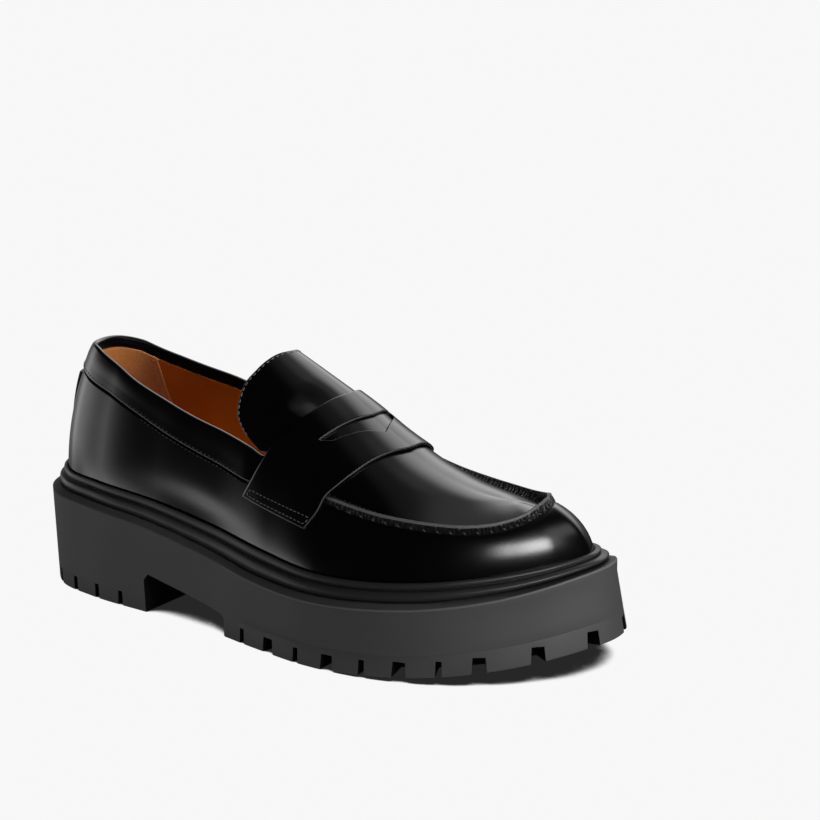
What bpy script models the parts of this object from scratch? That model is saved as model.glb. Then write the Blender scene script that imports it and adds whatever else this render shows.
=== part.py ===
"""Platform penny loafer for the right foot, standing on its sole.

Toe along +X, outer side along -Y, +Z up. Shapes are worked out in millimetres
and written to the scene in metres. Stations are measured forward from the back
of the sole. The upper, strap, tongue and heel strip all come from one last
surface, so that each lies a set distance off the next.
"""

from collections import namedtuple

import bmesh
import bpy
import numpy as np

# Driving dimensions in millimetres.
MM = 0.001
SOLE_LENGTH = 276.0
HEEL_BACK_Y = 0.5
TOE_TIP_Y = 6.0
SIDE_SAMPLES = 40
CLEARANCE = 0.3
WALL = 2.2
SHOULDER_RISE = 2.0
SHOULDER_RUN = 3.0
INSOLE_THICK = 3.0
BREAST_STATION = 72.5
BREAST_HEIGHT = 17.5
WAIST_END_STATION = 119.5
WAIST_END_HEIGHT = 9.3
NOTCH_HEIGHT = 6.5
NOTCH_DEPTH = 9.0
NARROW_NOTCH = 2.4
WIDE_NOTCH = 5.2
NOTCH_FLARE = 1.3
FOREFOOT_NOTCHES = 8
FOREFOOT_START = 0.470
NOTCH_PITCH = 0.0495
TOE_NOTCHES = 2
TOE_START = 0.889
TOE_PITCH = 0.074
HEEL_NOTCHES = 4
HEEL_START = 0.110
HEEL_PITCH = 0.045
SEAM_LIP_HEIGHT = 2.4
SEAM_LIP_HALF = 1.7
COLLAR_STEP = 0.9
STRAP_THICK = 1.7
TONGUE_THICK = 2.2
HEEL_STRIP_HEAD = 13.0
HEEL_STRIP_FOOT = 8.0
HEEL_STRIP_THICK = 0.9
LATERAL_LIP_START = 170.0
MEDIAL_LIP_START = 183.0
LIP_FADE = 5.0
BAND_END = 126.0

# Sole plan at the widest line. Reach is how far the upper stands in from it.
Plan = namedtuple("Plan", "station lateral medial lateral_reach medial_reach")
PLAN = (
    Plan(4.5, -18.8, 17.6, 7.0, 7.0),
    Plan(17.0, -32.0, 30.0, 7.0, 7.0),
    Plan(40.0, -39.2, 35.6, 7.0, 6.5),
    Plan(75.0, -43.1, 34.6, 6.5, 6.0),
    Plan(110.0, -46.8, 30.7, 6.5, 6.0),
    Plan(138.0, -53.3, 33.0, 7.5, 6.5),
    Plan(168.0, -58.8, 40.8, 8.5, 7.5),
    Plan(200.0, -57.6, 44.8, 9.5, 8.5),
    Plan(228.0, -48.8, 44.6, 11.0, 9.5),
    Plan(252.0, -32.3, 39.5, 12.5, 13.0),
    Plan(268.0, -13.8, 28.5, 12.5, 13.5),
)
HEEL_REACH = 7.0
TOE_REACH = 12.5

# Side profile of the sole: tread line, top edge of the side wall, top of the rand.
Profile = namedtuple("Profile", "station floor top rand")
PROFILE = (
    Profile(0.0, 0.0, 41.8, 51.6),
    Profile(40.0, 0.0, 40.7, 50.9),
    Profile(75.0, 0.0, 37.8, 48.9),
    Profile(105.0, 0.0, 33.0, 44.8),
    Profile(135.0, 0.0, 28.2, 40.5),
    Profile(165.0, 0.0, 26.9, 37.4),
    Profile(195.0, 1.1, 28.3, 38.0),
    Profile(225.0, 3.6, 31.3, 40.8),
    Profile(250.0, 7.2, 35.6, 44.4),
    Profile(276.0, 13.2, 43.0, 50.5),
)

# Side wall of the sole: how far the wall stands in from the plan at each level.
Wall = namedtuple("Wall", "station foot_inset top_inset")
SOLE_WALL = (
    Wall(0.0, 2.0, 0.0),
    Wall(75.0, 1.2, 0.3),
    Wall(140.0, 0.3, 0.8),
    Wall(200.0, 0.0, 1.8),
    Wall(250.0, 0.0, 3.6),
    Wall(276.0, 0.0, 4.5),
)

# Section of the rand: share of its width outwards, share of its height.
WELT_PROFILE = (
    (0.30, 1.00), (0.44, 0.88), (0.48, 0.74), (0.40, 0.57),
    (0.70, 0.55), (0.92, 0.44), (1.00, 0.28), (0.96, 0.13), (0.80, 0.0),
)

# Last: each rib rises from its foot station to a point on the ridge.
Rib = namedtuple("Rib", "station ridge_x ridge_y ridge_z square")
RIBS = (
    Rib(0.0, 50.0, -1.8, 128.0, 2.1),
    Rib(20.0, 54.0, -2.0, 129.0, 1.8),
    Rib(45.0, 64.0, -2.5, 130.0, 1.65),
    Rib(80.0, 86.0, -3.4, 129.0, 1.65),
    Rib(115.0, 115.0, -4.1, 119.5, 1.85),
    Rib(130.0, 130.0, -4.2, 112.0, 2.0),
    Rib(145.0, 144.5, -4.3, 104.5, 2.0),
    Rib(160.0, 158.5, -4.4, 96.5, 2.0),
    Rib(175.0, 172.0, -4.9, 87.5, 2.0),
    Rib(192.0, 187.0, -5.0, 79.3, 2.05),
    Rib(210.0, 202.0, -5.1, 74.5, 2.1),
    Rib(230.0, 215.0, -4.1, 71.5, 2.1),
    Rib(255.0, 224.0, -2.5, 69.8, 2.1),
    Rib(276.0, 230.0, -1.2, 69.3, 2.1),
)

# Edge lines on the last, as degrees up each rib (90 is the ridge). The rim is
# the collar and throat; the seam is the collar band behind, the apron in front.
Edge = namedtuple("Edge", "station lateral_rim medial_rim lateral_seam medial_seam")
EDGES = (
    Edge(0.0, 46.5, 46.5, 38.0, 38.0),
    Edge(15.0, 46.2, 43.0, 36.3, 35.5),
    Edge(27.0, 44.0, 39.8, 34.2, 33.0),
    Edge(40.0, 41.0, 37.2, 32.0, 30.5),
    Edge(57.0, 37.0, 35.0, 28.8, 27.8),
    Edge(75.0, 34.2, 34.0, 25.6, 26.0),
    Edge(92.0, 33.0, 33.5, 24.2, 25.0),
    Edge(108.0, 33.4, 33.8, 24.0, 25.0),
    Edge(124.0, 34.5, 34.5, 24.6, 26.0),
    Edge(131.0, 35.2, 35.2, 26.0, 28.0),
    Edge(137.0, 38.0, 38.0, 27.8, 30.5),
    Edge(143.0, 45.0, 45.0, 29.8, 33.5),
    Edge(151.0, 57.5, 57.5, 32.4, 37.0),
    Edge(159.0, 72.0, 72.0, 34.8, 40.0),
    Edge(166.0, 85.0, 85.0, 36.6, 42.0),
    Edge(170.0, 90.0, 90.0, 37.3, 43.0),
    Edge(183.0, 90.0, 90.0, 39.4, 45.5),
    Edge(198.0, 90.0, 90.0, 41.6, 47.0),
    Edge(217.0, 90.0, 90.0, 43.2, 47.0),
    Edge(234.0, 90.0, 90.0, 44.2, 47.0),
    Edge(249.0, 90.0, 90.0, 46.8, 50.0),
    Edge(261.0, 90.0, 90.0, 52.0, 56.0),
    Edge(271.0, 90.0, 90.0, 59.5, 62.0),
    Edge(276.0, 90.0, 90.0, 63.0, 63.0),
)

# Outer half of each band over the instep, from its lower end up to the ridge.
Band = namedtuple("Band", "rear_station rear_deg front_station front_deg")
STRAP = (
    Band(123.5, 20.0, 158.6, 21.0),
    Band(127.3, 26.0, 163.8, 29.0),
    Band(131.9, 34.5, 166.4, 36.5),
    Band(135.1, 40.5, 171.3, 45.0),
    Band(141.5, 51.5, 176.3, 55.0),
    Band(147.8, 64.0, 180.8, 66.0),
    Band(152.4, 78.0, 185.2, 78.0),
    Band(154.5, 90.0, 188.5, 90.0),
)
TONGUE = (
    Band(129.0, 36.9, 136.8, 39.4),
    Band(120.5, 38.0, 140.6, 43.5),
    Band(114.8, 40.8, 144.6, 49.5),
    Band(113.0, 46.0, 148.8, 56.5),
    Band(115.0, 54.0, 153.2, 64.5),
    Band(119.5, 63.0, 158.0, 73.0),
    Band(123.8, 77.0, 162.6, 81.5),
    Band(126.8, 90.0, 166.8, 90.0),
)

# How far the inner half of the strap runs forward of the outer half.
STRAP_SKEW = {"rear_station": 2.0, "front_station": 6.0}

# Slot of the strap: half-length share from its middle, share across the strap.
Lip = namedtuple("Lip", "along across")
SLOT_LOWER_LIP = (
    Lip(0.0, 0.670), Lip(0.1, 0.635), Lip(0.25, 0.585), Lip(0.5, 0.540),
    Lip(0.75, 0.505), Lip(0.92, 0.470), Lip(1.0, 0.400),
)
SLOT_UPPER_LIP = 0.385
SLOT_MIDDLE_DEG = 85.0
SLOT_HALF_DEG = 31.0


def smooth(knots, values, at, period=0.0):
    """Cubic through the knots, with slopes taken from the neighbouring knots."""
    knots = np.asarray(knots, float)
    values = np.asarray(values, float)
    at = np.asarray(at, float)
    if period:
        at = np.mod(at, period)
        knots = np.concatenate([knots[-3:] - period, knots, knots[:3] + period])
        values = np.concatenate([values[-3:], values, values[:3]])
    step = np.diff(knots)
    chord = np.diff(values) / step
    slope = np.empty_like(values)
    slope[1:-1] = (chord[:-1] * step[1:] + chord[1:] * step[:-1]) / (step[:-1] + step[1:])
    slope[0] = chord[0]
    slope[-1] = chord[-1]
    at = np.clip(at, knots[0], knots[-1])
    low = np.clip(np.searchsorted(knots, at, side="right") - 1, 0, len(step) - 1)
    span = step[low]
    f = (at - knots[low]) / span
    near = (1 + 2 * f) * (1 - f) ** 2 * values[low] + f * (1 - f) ** 2 * span * slope[low]
    far = f * f * (3 - 2 * f) * values[low + 1] - f * f * (1 - f) * span * slope[low + 1]
    return near + far


def column(rows, name):
    """One named column of a table."""
    return np.array([getattr(row, name) for row in rows])


def lookup(rows, name, station):
    """A named column of a table, read at any station."""
    return smooth(column(rows, "station"), column(rows, name), station)


def outline_knots():
    """Knots round the sole: 0 at the heel, 1 at the toe tip, back to 2."""
    x = column(PLAN, "station")
    outer = np.stack([x, column(PLAN, "lateral"), column(PLAN, "lateral_reach")], 1)
    inner = np.stack([x, column(PLAN, "medial"), column(PLAN, "medial_reach")], 1)
    heel = np.array([[0.0, HEEL_BACK_Y, HEEL_REACH]])
    tip = np.array([[SOLE_LENGTH, TOE_TIP_Y, TOE_REACH]])
    there = np.concatenate([heel, outer, tip])
    back = np.concatenate([tip, inner[::-1], heel])
    knots = []
    for start, path in ((0.0, there), (1.0, back)):
        run = np.concatenate([[0.0], np.cumsum(np.hypot(*np.diff(path[:, :2], axis=0).T))])
        knots.append(start + run[:-1] / run[-1])
    return np.concatenate(knots), np.concatenate([there[:-1], back[:-1]])


KNOTS, KNOT_ROWS = outline_knots()


def outline(c):
    """Plan point of the sole at round-the-shoe value c."""
    x = smooth(KNOTS, KNOT_ROWS[:, 0], c, 2.0)
    y = smooth(KNOTS, KNOT_ROWS[:, 1], c, 2.0)
    return np.stack([x, y], -1)


def outward(c):
    """Plan normal of the outline, pointing away from the shoe."""
    along = outline(np.asarray(c) + 1e-3) - outline(np.asarray(c) - 1e-3)
    along /= np.linalg.norm(along, axis=-1, keepdims=True)
    return np.stack([along[..., 1], -along[..., 0]], -1)


def ring_plan(c, inset):
    """Outline moved in by an inset that may change round the shoe."""
    return outline(c) - outward(c) * np.asarray(inset)[..., None]


def rib_station(c):
    """Foot station shared by the outer and inner rib of one section."""
    c = np.mod(c, 2.0)
    return 0.5 * (outline(c)[..., 0] + outline(2.0 - c)[..., 0])


STATION_C = np.linspace(0.0, 1.0, 2001)
STATION_X = rib_station(STATION_C)


def at_station(station):
    """Round-the-shoe value, on the outer side, of a foot station."""
    return np.interp(station, STATION_X, STATION_C)


def sole_top(x):
    """Height of the top edge of the sole."""
    return lookup(PROFILE, "top", x)


def bed(x):
    """Height of the flat bed that the upper and insole stand on."""
    return sole_top(x) + SHOULDER_RISE


def rand_top(x):
    """Height of the top of the rand."""
    return lookup(PROFILE, "rand", x)


def sole_floor(x):
    """Height of the tread line, with the toe spring."""
    return np.maximum(lookup(PROFILE, "floor", x), 0.0) * (np.asarray(x) > PROFILE[5].station)


def last(c, deg):
    """Point of the outer face of the upper, deg degrees up the rib at c."""
    c, deg = np.broadcast_arrays(np.asarray(c, float), np.asarray(deg, float))
    reach = smooth(KNOTS, KNOT_ROWS[:, 2], c, 2.0)
    foot = ring_plan(c, reach)
    foot_z = bed(foot[..., 0]) + CLEARANCE
    station = rib_station(c)
    ridge = np.stack([lookup(RIBS, "ridge_x", station), lookup(RIBS, "ridge_y", station)], -1)
    ridge_z = lookup(RIBS, "ridge_z", station)
    square = lookup(RIBS, "square", station)
    theta = np.radians(np.clip(deg, 0.0, 90.0))
    lean = 1.0 - np.maximum(np.cos(theta), 1e-9) ** (2.0 / square)
    plan = foot + (ridge - foot) * lean[..., None]
    z = foot_z + (ridge_z - foot_z) * np.sin(theta)
    return np.concatenate([plan, z[..., None]], -1)


def last_normal(c, deg):
    """Outward normal of the last surface."""
    deg = np.clip(deg, 0.0, 89.0)
    along = last(np.asarray(c) + 2e-3, deg) - last(np.asarray(c) - 2e-3, deg)
    rise = last(c, deg + 0.5) - last(c, np.maximum(deg - 0.5, 0.0))
    normal = np.cross(along, rise)
    return normal / np.linalg.norm(normal, axis=-1, keepdims=True)


def lifted(c, deg, lift):
    """Last surface moved out along its normal."""
    c, deg, lift = np.broadcast_arrays(c, deg, lift)
    return last(c, deg) + last_normal(c, deg) * np.asarray(lift)[..., None]


def edge_deg(name, c):
    """Degrees of a rim or seam line at c, from the column of its own side."""
    c = np.mod(c, 2.0)
    station = rib_station(c)
    outer = lookup(EDGES, "lateral_" + name, station)
    inner = lookup(EDGES, "medial_" + name, station)
    return np.minimum(np.where(c <= 1.0, outer, inner), 90.0)


def deg_at_height(c, z):
    """Degrees up the rib at which the last reaches a height."""
    foot_z = last(c, 0.0)[..., 2]
    top_z = last(c, 90.0)[..., 2]
    return np.degrees(np.arcsin(np.clip((z - foot_z) / (top_z - foot_z), 0.0, 1.0)))


def ring_values():
    """Round-the-shoe values of the sections, closer together at heel and toe."""
    f = np.linspace(0.0, 1.0, SIDE_SAMPLES + 1)
    side = 0.6 * f + 0.4 * 0.5 * (1.0 - np.cos(np.pi * f))
    return np.concatenate([side, (2.0 - side[::-1])[1:-1]])


RING = ring_values()
COUNT = len(RING)


def box_middle():
    """Middle of the sole's box in plan, which becomes the origin."""
    x = outline(RING)[:, 0]
    foot = ring_plan(RING, lookup(SOLE_WALL, "foot_inset", x))
    wall = ring_plan(RING, lookup(SOLE_WALL, "top_inset", x))
    plan = np.concatenate([foot, wall])
    return np.array([*(0.5 * (plan.min(0) + plan.max(0))), 0.0])


ORIGIN = box_middle()


def make_material(name, colour, roughness, metallic=0.0):
    """Plain Principled material."""
    material = bpy.data.materials.new(name)
    material.use_nodes = True
    shader = material.node_tree.nodes["Principled BSDF"]
    shader.inputs["Base Color"].default_value = (*colour, 1.0)
    shader.inputs["Roughness"].default_value = roughness
    shader.inputs["Metallic"].default_value = metallic
    return material


def make_collection(name):
    """New collection in the scene."""
    collection = bpy.data.collections.new(name)
    bpy.context.scene.collection.children.link(collection)
    return collection


def make_object(name, points, faces, collection, material=None):
    """Mesh object from points in millimetres and index faces."""
    bm = bmesh.new()
    verts = [bm.verts.new(tuple((np.asarray(p, float) - ORIGIN) * MM)) for p in points]
    for face in faces:
        kept = [i for k, i in enumerate(face) if i != face[k - 1]]
        if len(set(kept)) > 2:
            bm.faces.new([verts[i] for i in kept])
    bmesh.ops.remove_doubles(bm, verts=bm.verts, dist=0.00002)
    loose = [v for v in bm.verts if not v.link_faces]
    bmesh.ops.delete(bm, geom=loose, context="VERTS")
    bmesh.ops.recalc_face_normals(bm, faces=bm.faces)
    mesh = bpy.data.meshes.new(name)
    bm.to_mesh(mesh)
    bm.free()
    obj = bpy.data.objects.new(name, mesh)
    collection.objects.link(obj)
    if material:
        mesh.materials.append(material)
    return obj


def between(a, b, count):
    """Quads joining two closed rings that start at indices a and b."""
    return [(a + i, a + (i + 1) % count, b + (i + 1) % count, b + i) for i in range(count)]


def ring_cap(start):
    """Quads across one ring, from the outer side to the inner."""
    faces = []
    for i in range(SIDE_SAMPLES):
        j = (COUNT - i) % COUNT
        faces.append((start + i, start + i + 1, start + COUNT - i - 1, start + j))
    return faces


def stacked_rings(name, rings, collection, material):
    """Solid through a stack of full rings, capped at both ends."""
    points = np.concatenate(rings)
    faces = ring_cap(0) + ring_cap((len(rings) - 1) * COUNT)
    for k in range(len(rings) - 1):
        faces += between(k * COUNT, (k + 1) * COUNT, COUNT)
    return make_object(name, points, faces, collection, material)


def closed_loft(name, loops, collection, material):
    """Solid ring through closed profile loops, one loop per section."""
    size = len(loops[0])
    points = np.concatenate(loops)
    faces = []
    for i in range(len(loops)):
        faces += between(i * size, ((i + 1) % len(loops)) * size, size)
    return make_object(name, points, faces, collection, material)


def patch_solid(name, outer, inner, collection, material):
    """Thick sheet between two equal grids of points."""
    rows, cols = outer.shape[:2]
    points = np.concatenate([outer.reshape(-1, 3), inner.reshape(-1, 3)])
    size = rows * cols
    faces = []
    for r in range(rows - 1):
        for k in range(cols - 1):
            a = r * cols + k
            quad = (a, a + 1, a + cols + 1, a + cols)
            faces.append(quad)
            faces.append(tuple(size + i for i in reversed(quad)))
    rim = list(range(cols))
    rim += [r * cols + cols - 1 for r in range(1, rows)]
    rim += [(rows - 1) * cols + k for k in range(cols - 2, -1, -1)]
    rim += [r * cols for r in range(rows - 2, 0, -1)]
    for k, a in enumerate(rim):
        b = rim[(k + 1) % len(rim)]
        faces.append((b, a, size + a, size + b))
    return make_object(name, points, faces, collection, material)


def subtract(target, cutter):
    """Boolean cut kept as a modifier."""
    modifier = target.modifiers.new("cut_" + cutter.name, "BOOLEAN")
    modifier.operation = "DIFFERENCE"
    modifier.solver = "EXACT"
    modifier.object = cutter
    cutter.hide_render = True
    cutter.display_type = "WIRE"


def with_height(plan, z):
    """Plan points given their heights."""
    return np.concatenate([plan, np.broadcast_to(z, plan.shape[:1])[:, None]], -1)


def build_outsole(parts, cutters, material):
    """Moulded unit sole with heel, waist step, bevelled top and lug notches."""
    x = outline(RING)[:, 0]
    foot = lookup(SOLE_WALL, "foot_inset", x)
    top = lookup(SOLE_WALL, "top_inset", x)
    low = ring_plan(RING, foot)
    wall = ring_plan(RING, top)
    shoulder = ring_plan(RING, top + SHOULDER_RUN)
    inside = ring_plan(RING, top + SHOULDER_RUN + 4.0)
    rings = [
        with_height(low, sole_floor(low[:, 0])),
        with_height(wall, sole_top(wall[:, 0])),
        with_height(shoulder, bed(shoulder[:, 0])),
        with_height(inside, bed(inside[:, 0])),
    ]
    sole = stacked_rings("outsole", rings, parts, material)
    subtract(sole, waist_cutter(cutters))
    subtract(sole, notch_cutter(cutters))
    return sole


def waist_cutter(cutters):
    """Prism that opens the waist between the heel and the forefoot."""
    side = [
        (BREAST_STATION + 0.8, -5.0),
        (BREAST_STATION, BREAST_HEIGHT - 3.0),
        (BREAST_STATION + 2.5, BREAST_HEIGHT),
        (WAIST_END_STATION - 2.0, WAIST_END_HEIGHT + 0.3),
        (WAIST_END_STATION, WAIST_END_HEIGHT - 1.2),
        (WAIST_END_STATION + 0.6, -5.0),
    ]
    points = [(x, y, z) for y in (-90.0, 90.0) for x, z in side]
    n = len(side)
    faces = [tuple(range(n)), tuple(range(2 * n - 1, n - 1, -1))]
    faces += between(0, n, n)
    return make_object("waist_cutter", points, faces, cutters)


def notch_rows():
    """Places and widths of the lug notches, as (c, width), mirrored to the inner side."""
    rows = []
    for k in range(FOREFOOT_NOTCHES):
        rows.append((FOREFOOT_START + NOTCH_PITCH * k, WIDE_NOTCH if k % 2 else NARROW_NOTCH))
    for k in range(TOE_NOTCHES):
        rows.append((TOE_START + TOE_PITCH * k, WIDE_NOTCH))
    for k in range(HEEL_NOTCHES):
        rows.append((HEEL_START + HEEL_PITCH * k, NARROW_NOTCH))
    return rows + [(2.0 - c, width) for c, width in rows]


def notch_cutter(cutters):
    """Tapered notch blocks round the tread edge, as one cutter."""
    points = []
    faces = []
    for c, width in notch_rows():
        centre = outline(np.array(c))
        normal = outward(np.array(c))
        along = np.array([-normal[1], normal[0]])
        floor = float(sole_floor(centre[0]))
        base = len(points)
        for depth in (-NOTCH_DEPTH, 6.0):
            for z, half in ((-4.0, width * 0.5 * NOTCH_FLARE), (NOTCH_HEIGHT, width * 0.5)):
                for sign in (-1.0, 1.0):
                    p = centre + normal * depth + along * sign * half
                    points.append((p[0], p[1], floor + z))
        for quad in ((0, 1, 3, 2), (4, 6, 7, 5), (0, 4, 5, 1), (2, 3, 7, 6), (0, 2, 6, 4), (1, 5, 7, 3)):
            faces.append(tuple(base + i for i in quad))
    return make_object("notch_cutter", points, faces, cutters)


def build_welt(parts, material):
    """Two-ribbed rand seated between the upper and the sole's top edge."""
    loops = []
    for c in RING:
        normal = outward(c)
        edge = ring_plan(c, lookup(SOLE_WALL, "top_inset", outline(c)[0]) + SHOULDER_RUN + 0.3)
        base = float(bed(edge[0])) + CLEARANCE
        foot = last(c, 0.0)
        crest = float(rand_top(foot[0]))
        tall = crest - base
        low = lifted(c, float(deg_at_height(c, base + 0.3)), CLEARANCE)
        high = lifted(c, float(deg_at_height(c, crest - 0.5)), CLEARANCE)
        run = float(np.dot(edge - high[:2], normal))
        loop = [(low[0], low[1], base), tuple(high)]
        for share, rise in WELT_PROFILE:
            p = high[:2] + normal * run * share
            loop.append((p[0], p[1], base + tall * rise))
        loops.append(np.array(loop))
    return closed_loft("welt", loops, parts, material)


def build_insole(parts, material):
    """Board and sock inside the foot of the upper."""
    rings = []
    for rise in (0.0, INSOLE_THICK):
        foot = last(RING, 0.0)
        z = bed(foot[:, 0]) + CLEARANCE + rise
        deg = deg_at_height(RING, z)
        points = lifted(RING, deg, -WALL - CLEARANCE)
        points[:, 2] = z
        rings.append(points)
    return stacked_rings("insole", rings, parts, material)


def upper_rows(c):
    """Degrees and lifts of the outer face of the wall, from foot to rim."""
    rim = float(edge_deg("rim", c))
    seam = float(edge_deg("seam", c))
    station = float(rib_station(c))
    start = LATERAL_LIP_START if c <= 1.0 else MEDIAL_LIP_START
    lip = SEAM_LIP_HEIGHT * np.clip((station - start) / LIP_FADE, 0.0, 1.0)
    band = COLLAR_STEP * np.clip((BAND_END - station) / LIP_FADE, 0.0, 1.0)
    per_mm = 2.0 / np.linalg.norm(last(c, seam + 1.0) - last(c, seam - 1.0))
    half = SEAM_LIP_HALF * per_mm
    rows = [(d, 0.0) for d in np.linspace(0.0, seam - 1.5 * half, 7)]
    rows.append((seam - half, 0.8 * lip))
    rows.append((seam, lip + band))
    rows.append((seam + half, 0.8 * lip + band))
    rows += [(d, band) for d in np.linspace(seam + 1.5 * half, rim, 5)]
    return np.array(rows)


def build_upper(parts, material):
    """One hollow wall: outer face with its steps, smooth inner face, open at both ends."""
    outer = []
    inner = []
    open_rib = []
    for c in RING:
        deg, lift = upper_rows(c).T
        outer.append(lifted(c, deg, lift))
        inside = lifted(c, deg, -WALL)
        inside[0, 2] = outer[-1][0, 2]
        inner.append(inside)
        open_rib.append(deg[-1] < 89.9)
    size = len(outer[0])
    for i in range(COUNT):
        if not open_rib[i]:
            j = (COUNT - i) % COUNT
            outer[i][-1] = last(min(RING[i], 2.0 - RING[i]), 90.0)
            inner[i][-1] = outer[i][-1] - (0.0, 0.0, WALL)
            outer[j][-1] = outer[i][-1]
            inner[j][-1] = inner[i][-1]
    points = np.concatenate(outer + inner)
    shift = COUNT * size
    faces = []
    for i in range(COUNT):
        j = (i + 1) % COUNT
        for k in range(size - 1):
            quad = (i * size + k, j * size + k, j * size + k + 1, i * size + k + 1)
            faces.append(quad)
            faces.append(tuple(shift + v for v in reversed(quad)))
        faces.append((i * size, shift + i * size, shift + j * size, j * size))
        if open_rib[i] or open_rib[j]:
            a = i * size + size - 1
            b = j * size + size - 1
            faces.append((a, b, shift + b, shift + a))
    return make_object("upper", points, faces, parts, material)


def band_places(table, along, across_share):
    """Round value and degrees on a band; along runs 0 to 1 from outer to inner end."""
    count = len(table)
    knots = np.arange(2 * count - 1)
    at = np.asarray(along) * (2 * count - 2)
    value = {}
    for name in Band._fields:
        half = column(table, name)
        rest = half[-2::-1]
        if name.endswith("deg"):
            rest = 180.0 - rest
        elif table is STRAP:
            rest = rest + STRAP_SKEW[name] * np.minimum(np.arange(1, count) / 3.0, 1.0)
        value[name] = smooth(knots, np.concatenate([half, rest]), at)
    share = np.asarray(across_share)
    station = value["rear_station"] * (1 - share) + value["front_station"] * share
    deg = value["rear_deg"] * (1 - share) + value["front_deg"] * share
    over = deg > 90.0
    c = at_station(station)
    return np.where(over, 2.0 - c, c), np.where(over, 180.0 - deg, deg)


def band_grid(table, lift, rows, cols):
    """Grid of points over a band at one lift off the last."""
    along, share = np.meshgrid(np.linspace(0.0, 1.0, rows), np.linspace(0.0, 1.0, cols), indexing="ij")
    c, deg = band_places(table, along, share)
    return lifted(c, deg, lift)


def build_tongue(parts, material):
    """Free end of the apron, filling the throat and standing up behind the strap."""
    outer = band_grid(TONGUE, 0.0, 29, 9)
    inner = band_grid(TONGUE, -TONGUE_THICK, 29, 9)
    return patch_solid("tongue", outer, inner, parts, material)


def build_strap(parts, cutters, material):
    """Saddle strap lying over the wall and the tongue, with its slot."""
    outer = band_grid(STRAP, CLEARANCE + STRAP_THICK, 33, 7)
    inner = band_grid(STRAP, CLEARANCE, 33, 7)
    strap = patch_solid("saddle_strap", outer, inner, parts, material)
    subtract(strap, slot_cutter(cutters))
    return strap


def slot_cutter(cutters):
    """Crescent through the strap, between an upper arc and a notched lower lip."""
    spots = np.linspace(-1.0, 1.0, 25)
    low = smooth(column(SLOT_LOWER_LIP, "along"), column(SLOT_LOWER_LIP, "across"), np.abs(spots))
    rear_deg = np.concatenate([column(STRAP, "rear_deg"), 180.0 - column(STRAP, "rear_deg")[-2::-1]])
    steps = np.linspace(0.0, 1.0, len(rear_deg))
    along = np.interp(SLOT_MIDDLE_DEG + SLOT_HALF_DEG * spots, rear_deg, steps)
    share = np.stack([np.full(len(spots), SLOT_UPPER_LIP), low], 1)
    grids = []
    for lift in (CLEARANCE + STRAP_THICK + 1.0, CLEARANCE - 1.0):
        c, deg = band_places(STRAP, along[:, None], share)
        grids.append(lifted(c, deg, lift))
    return patch_solid("slot_cutter", grids[0], grids[1], cutters, None)


def build_heel_strip(parts, material):
    """Narrow strip over the back seam, from the rand up to the collar band."""
    rows = 9
    cols = 7
    foot = float(deg_at_height(0.0, rand_top(0.0) + 1.0))
    head = float(edge_deg("seam", 0.0)) - 3.0
    outer = np.empty((rows, cols, 3))
    inner = np.empty((rows, cols, 3))
    for r, deg in enumerate(np.linspace(foot, head, rows)):
        half = HEEL_STRIP_FOOT + (HEEL_STRIP_HEAD - HEEL_STRIP_FOOT) * r / (rows - 1)
        speed = np.linalg.norm(last(0.01, deg) - last(-0.01, deg)) / 0.02
        c = np.linspace(-half, half, cols) / speed
        outer[r] = lifted(c, deg, CLEARANCE + HEEL_STRIP_THICK)
        inner[r] = lifted(c, deg, CLEARANCE)
    return patch_solid("heel_strip", outer, inner, parts, material)


def main():
    """Clear the scene and build every node."""
    for old in list(bpy.data.objects):
        bpy.data.objects.remove(old, do_unlink=True)
    parts = make_collection("platform_penny_loafer")
    cutters = make_collection("cutters")
    leather = make_material("black_polished_leather", (0.012, 0.012, 0.013), 0.28)
    rubber = make_material("dark_grey_rubber", (0.035, 0.035, 0.036), 0.65)
    lining = make_material("tan_lining_leather", (0.30, 0.11, 0.035), 0.6)
    build_outsole(parts, cutters, rubber)
    build_welt(parts, rubber)
    build_insole(parts, lining)
    build_upper(parts, leather)
    build_tongue(parts, leather)
    build_strap(parts, cutters, leather)
    build_heel_strip(parts, leather)


main()
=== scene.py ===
"""Looks of a right platform penny loafer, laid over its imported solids.

Toe along +X, outer side along -Y, +Z up. Shapes are worked out in millimetres in
stations measured forward from the back of the sole, and written to the scene in
metres about the middle of the sole. Every leather piece is a patch of one last
surface, so that each lies a set distance off the next.
"""

import logging
import math
from dataclasses import dataclass
from enum import Enum
from typing import Callable, NamedTuple, Sequence, Union

import bpy
import numpy as np
from mathutils import Matrix, Vector


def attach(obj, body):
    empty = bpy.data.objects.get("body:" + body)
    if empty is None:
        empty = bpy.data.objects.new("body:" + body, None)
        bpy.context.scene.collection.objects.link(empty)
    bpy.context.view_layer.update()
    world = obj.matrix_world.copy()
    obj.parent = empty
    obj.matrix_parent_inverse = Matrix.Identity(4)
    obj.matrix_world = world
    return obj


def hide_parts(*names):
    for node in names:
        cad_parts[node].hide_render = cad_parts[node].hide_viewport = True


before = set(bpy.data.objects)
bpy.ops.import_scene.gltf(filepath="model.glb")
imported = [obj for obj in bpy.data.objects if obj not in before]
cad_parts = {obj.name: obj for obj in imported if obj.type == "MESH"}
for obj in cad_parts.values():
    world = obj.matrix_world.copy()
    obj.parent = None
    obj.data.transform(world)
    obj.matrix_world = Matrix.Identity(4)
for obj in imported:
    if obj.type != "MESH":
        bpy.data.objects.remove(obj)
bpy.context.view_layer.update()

LOG = logging.getLogger("loafer")
MM = 0.001
BODY = "root"
MERGE = 2e-6
SOLE_MERGE = 1e-5
C_STEP = 2e-3
SHUT_DEG = 89.9
UPWARD = np.array([0.0, 0.0, 1.0])
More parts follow.
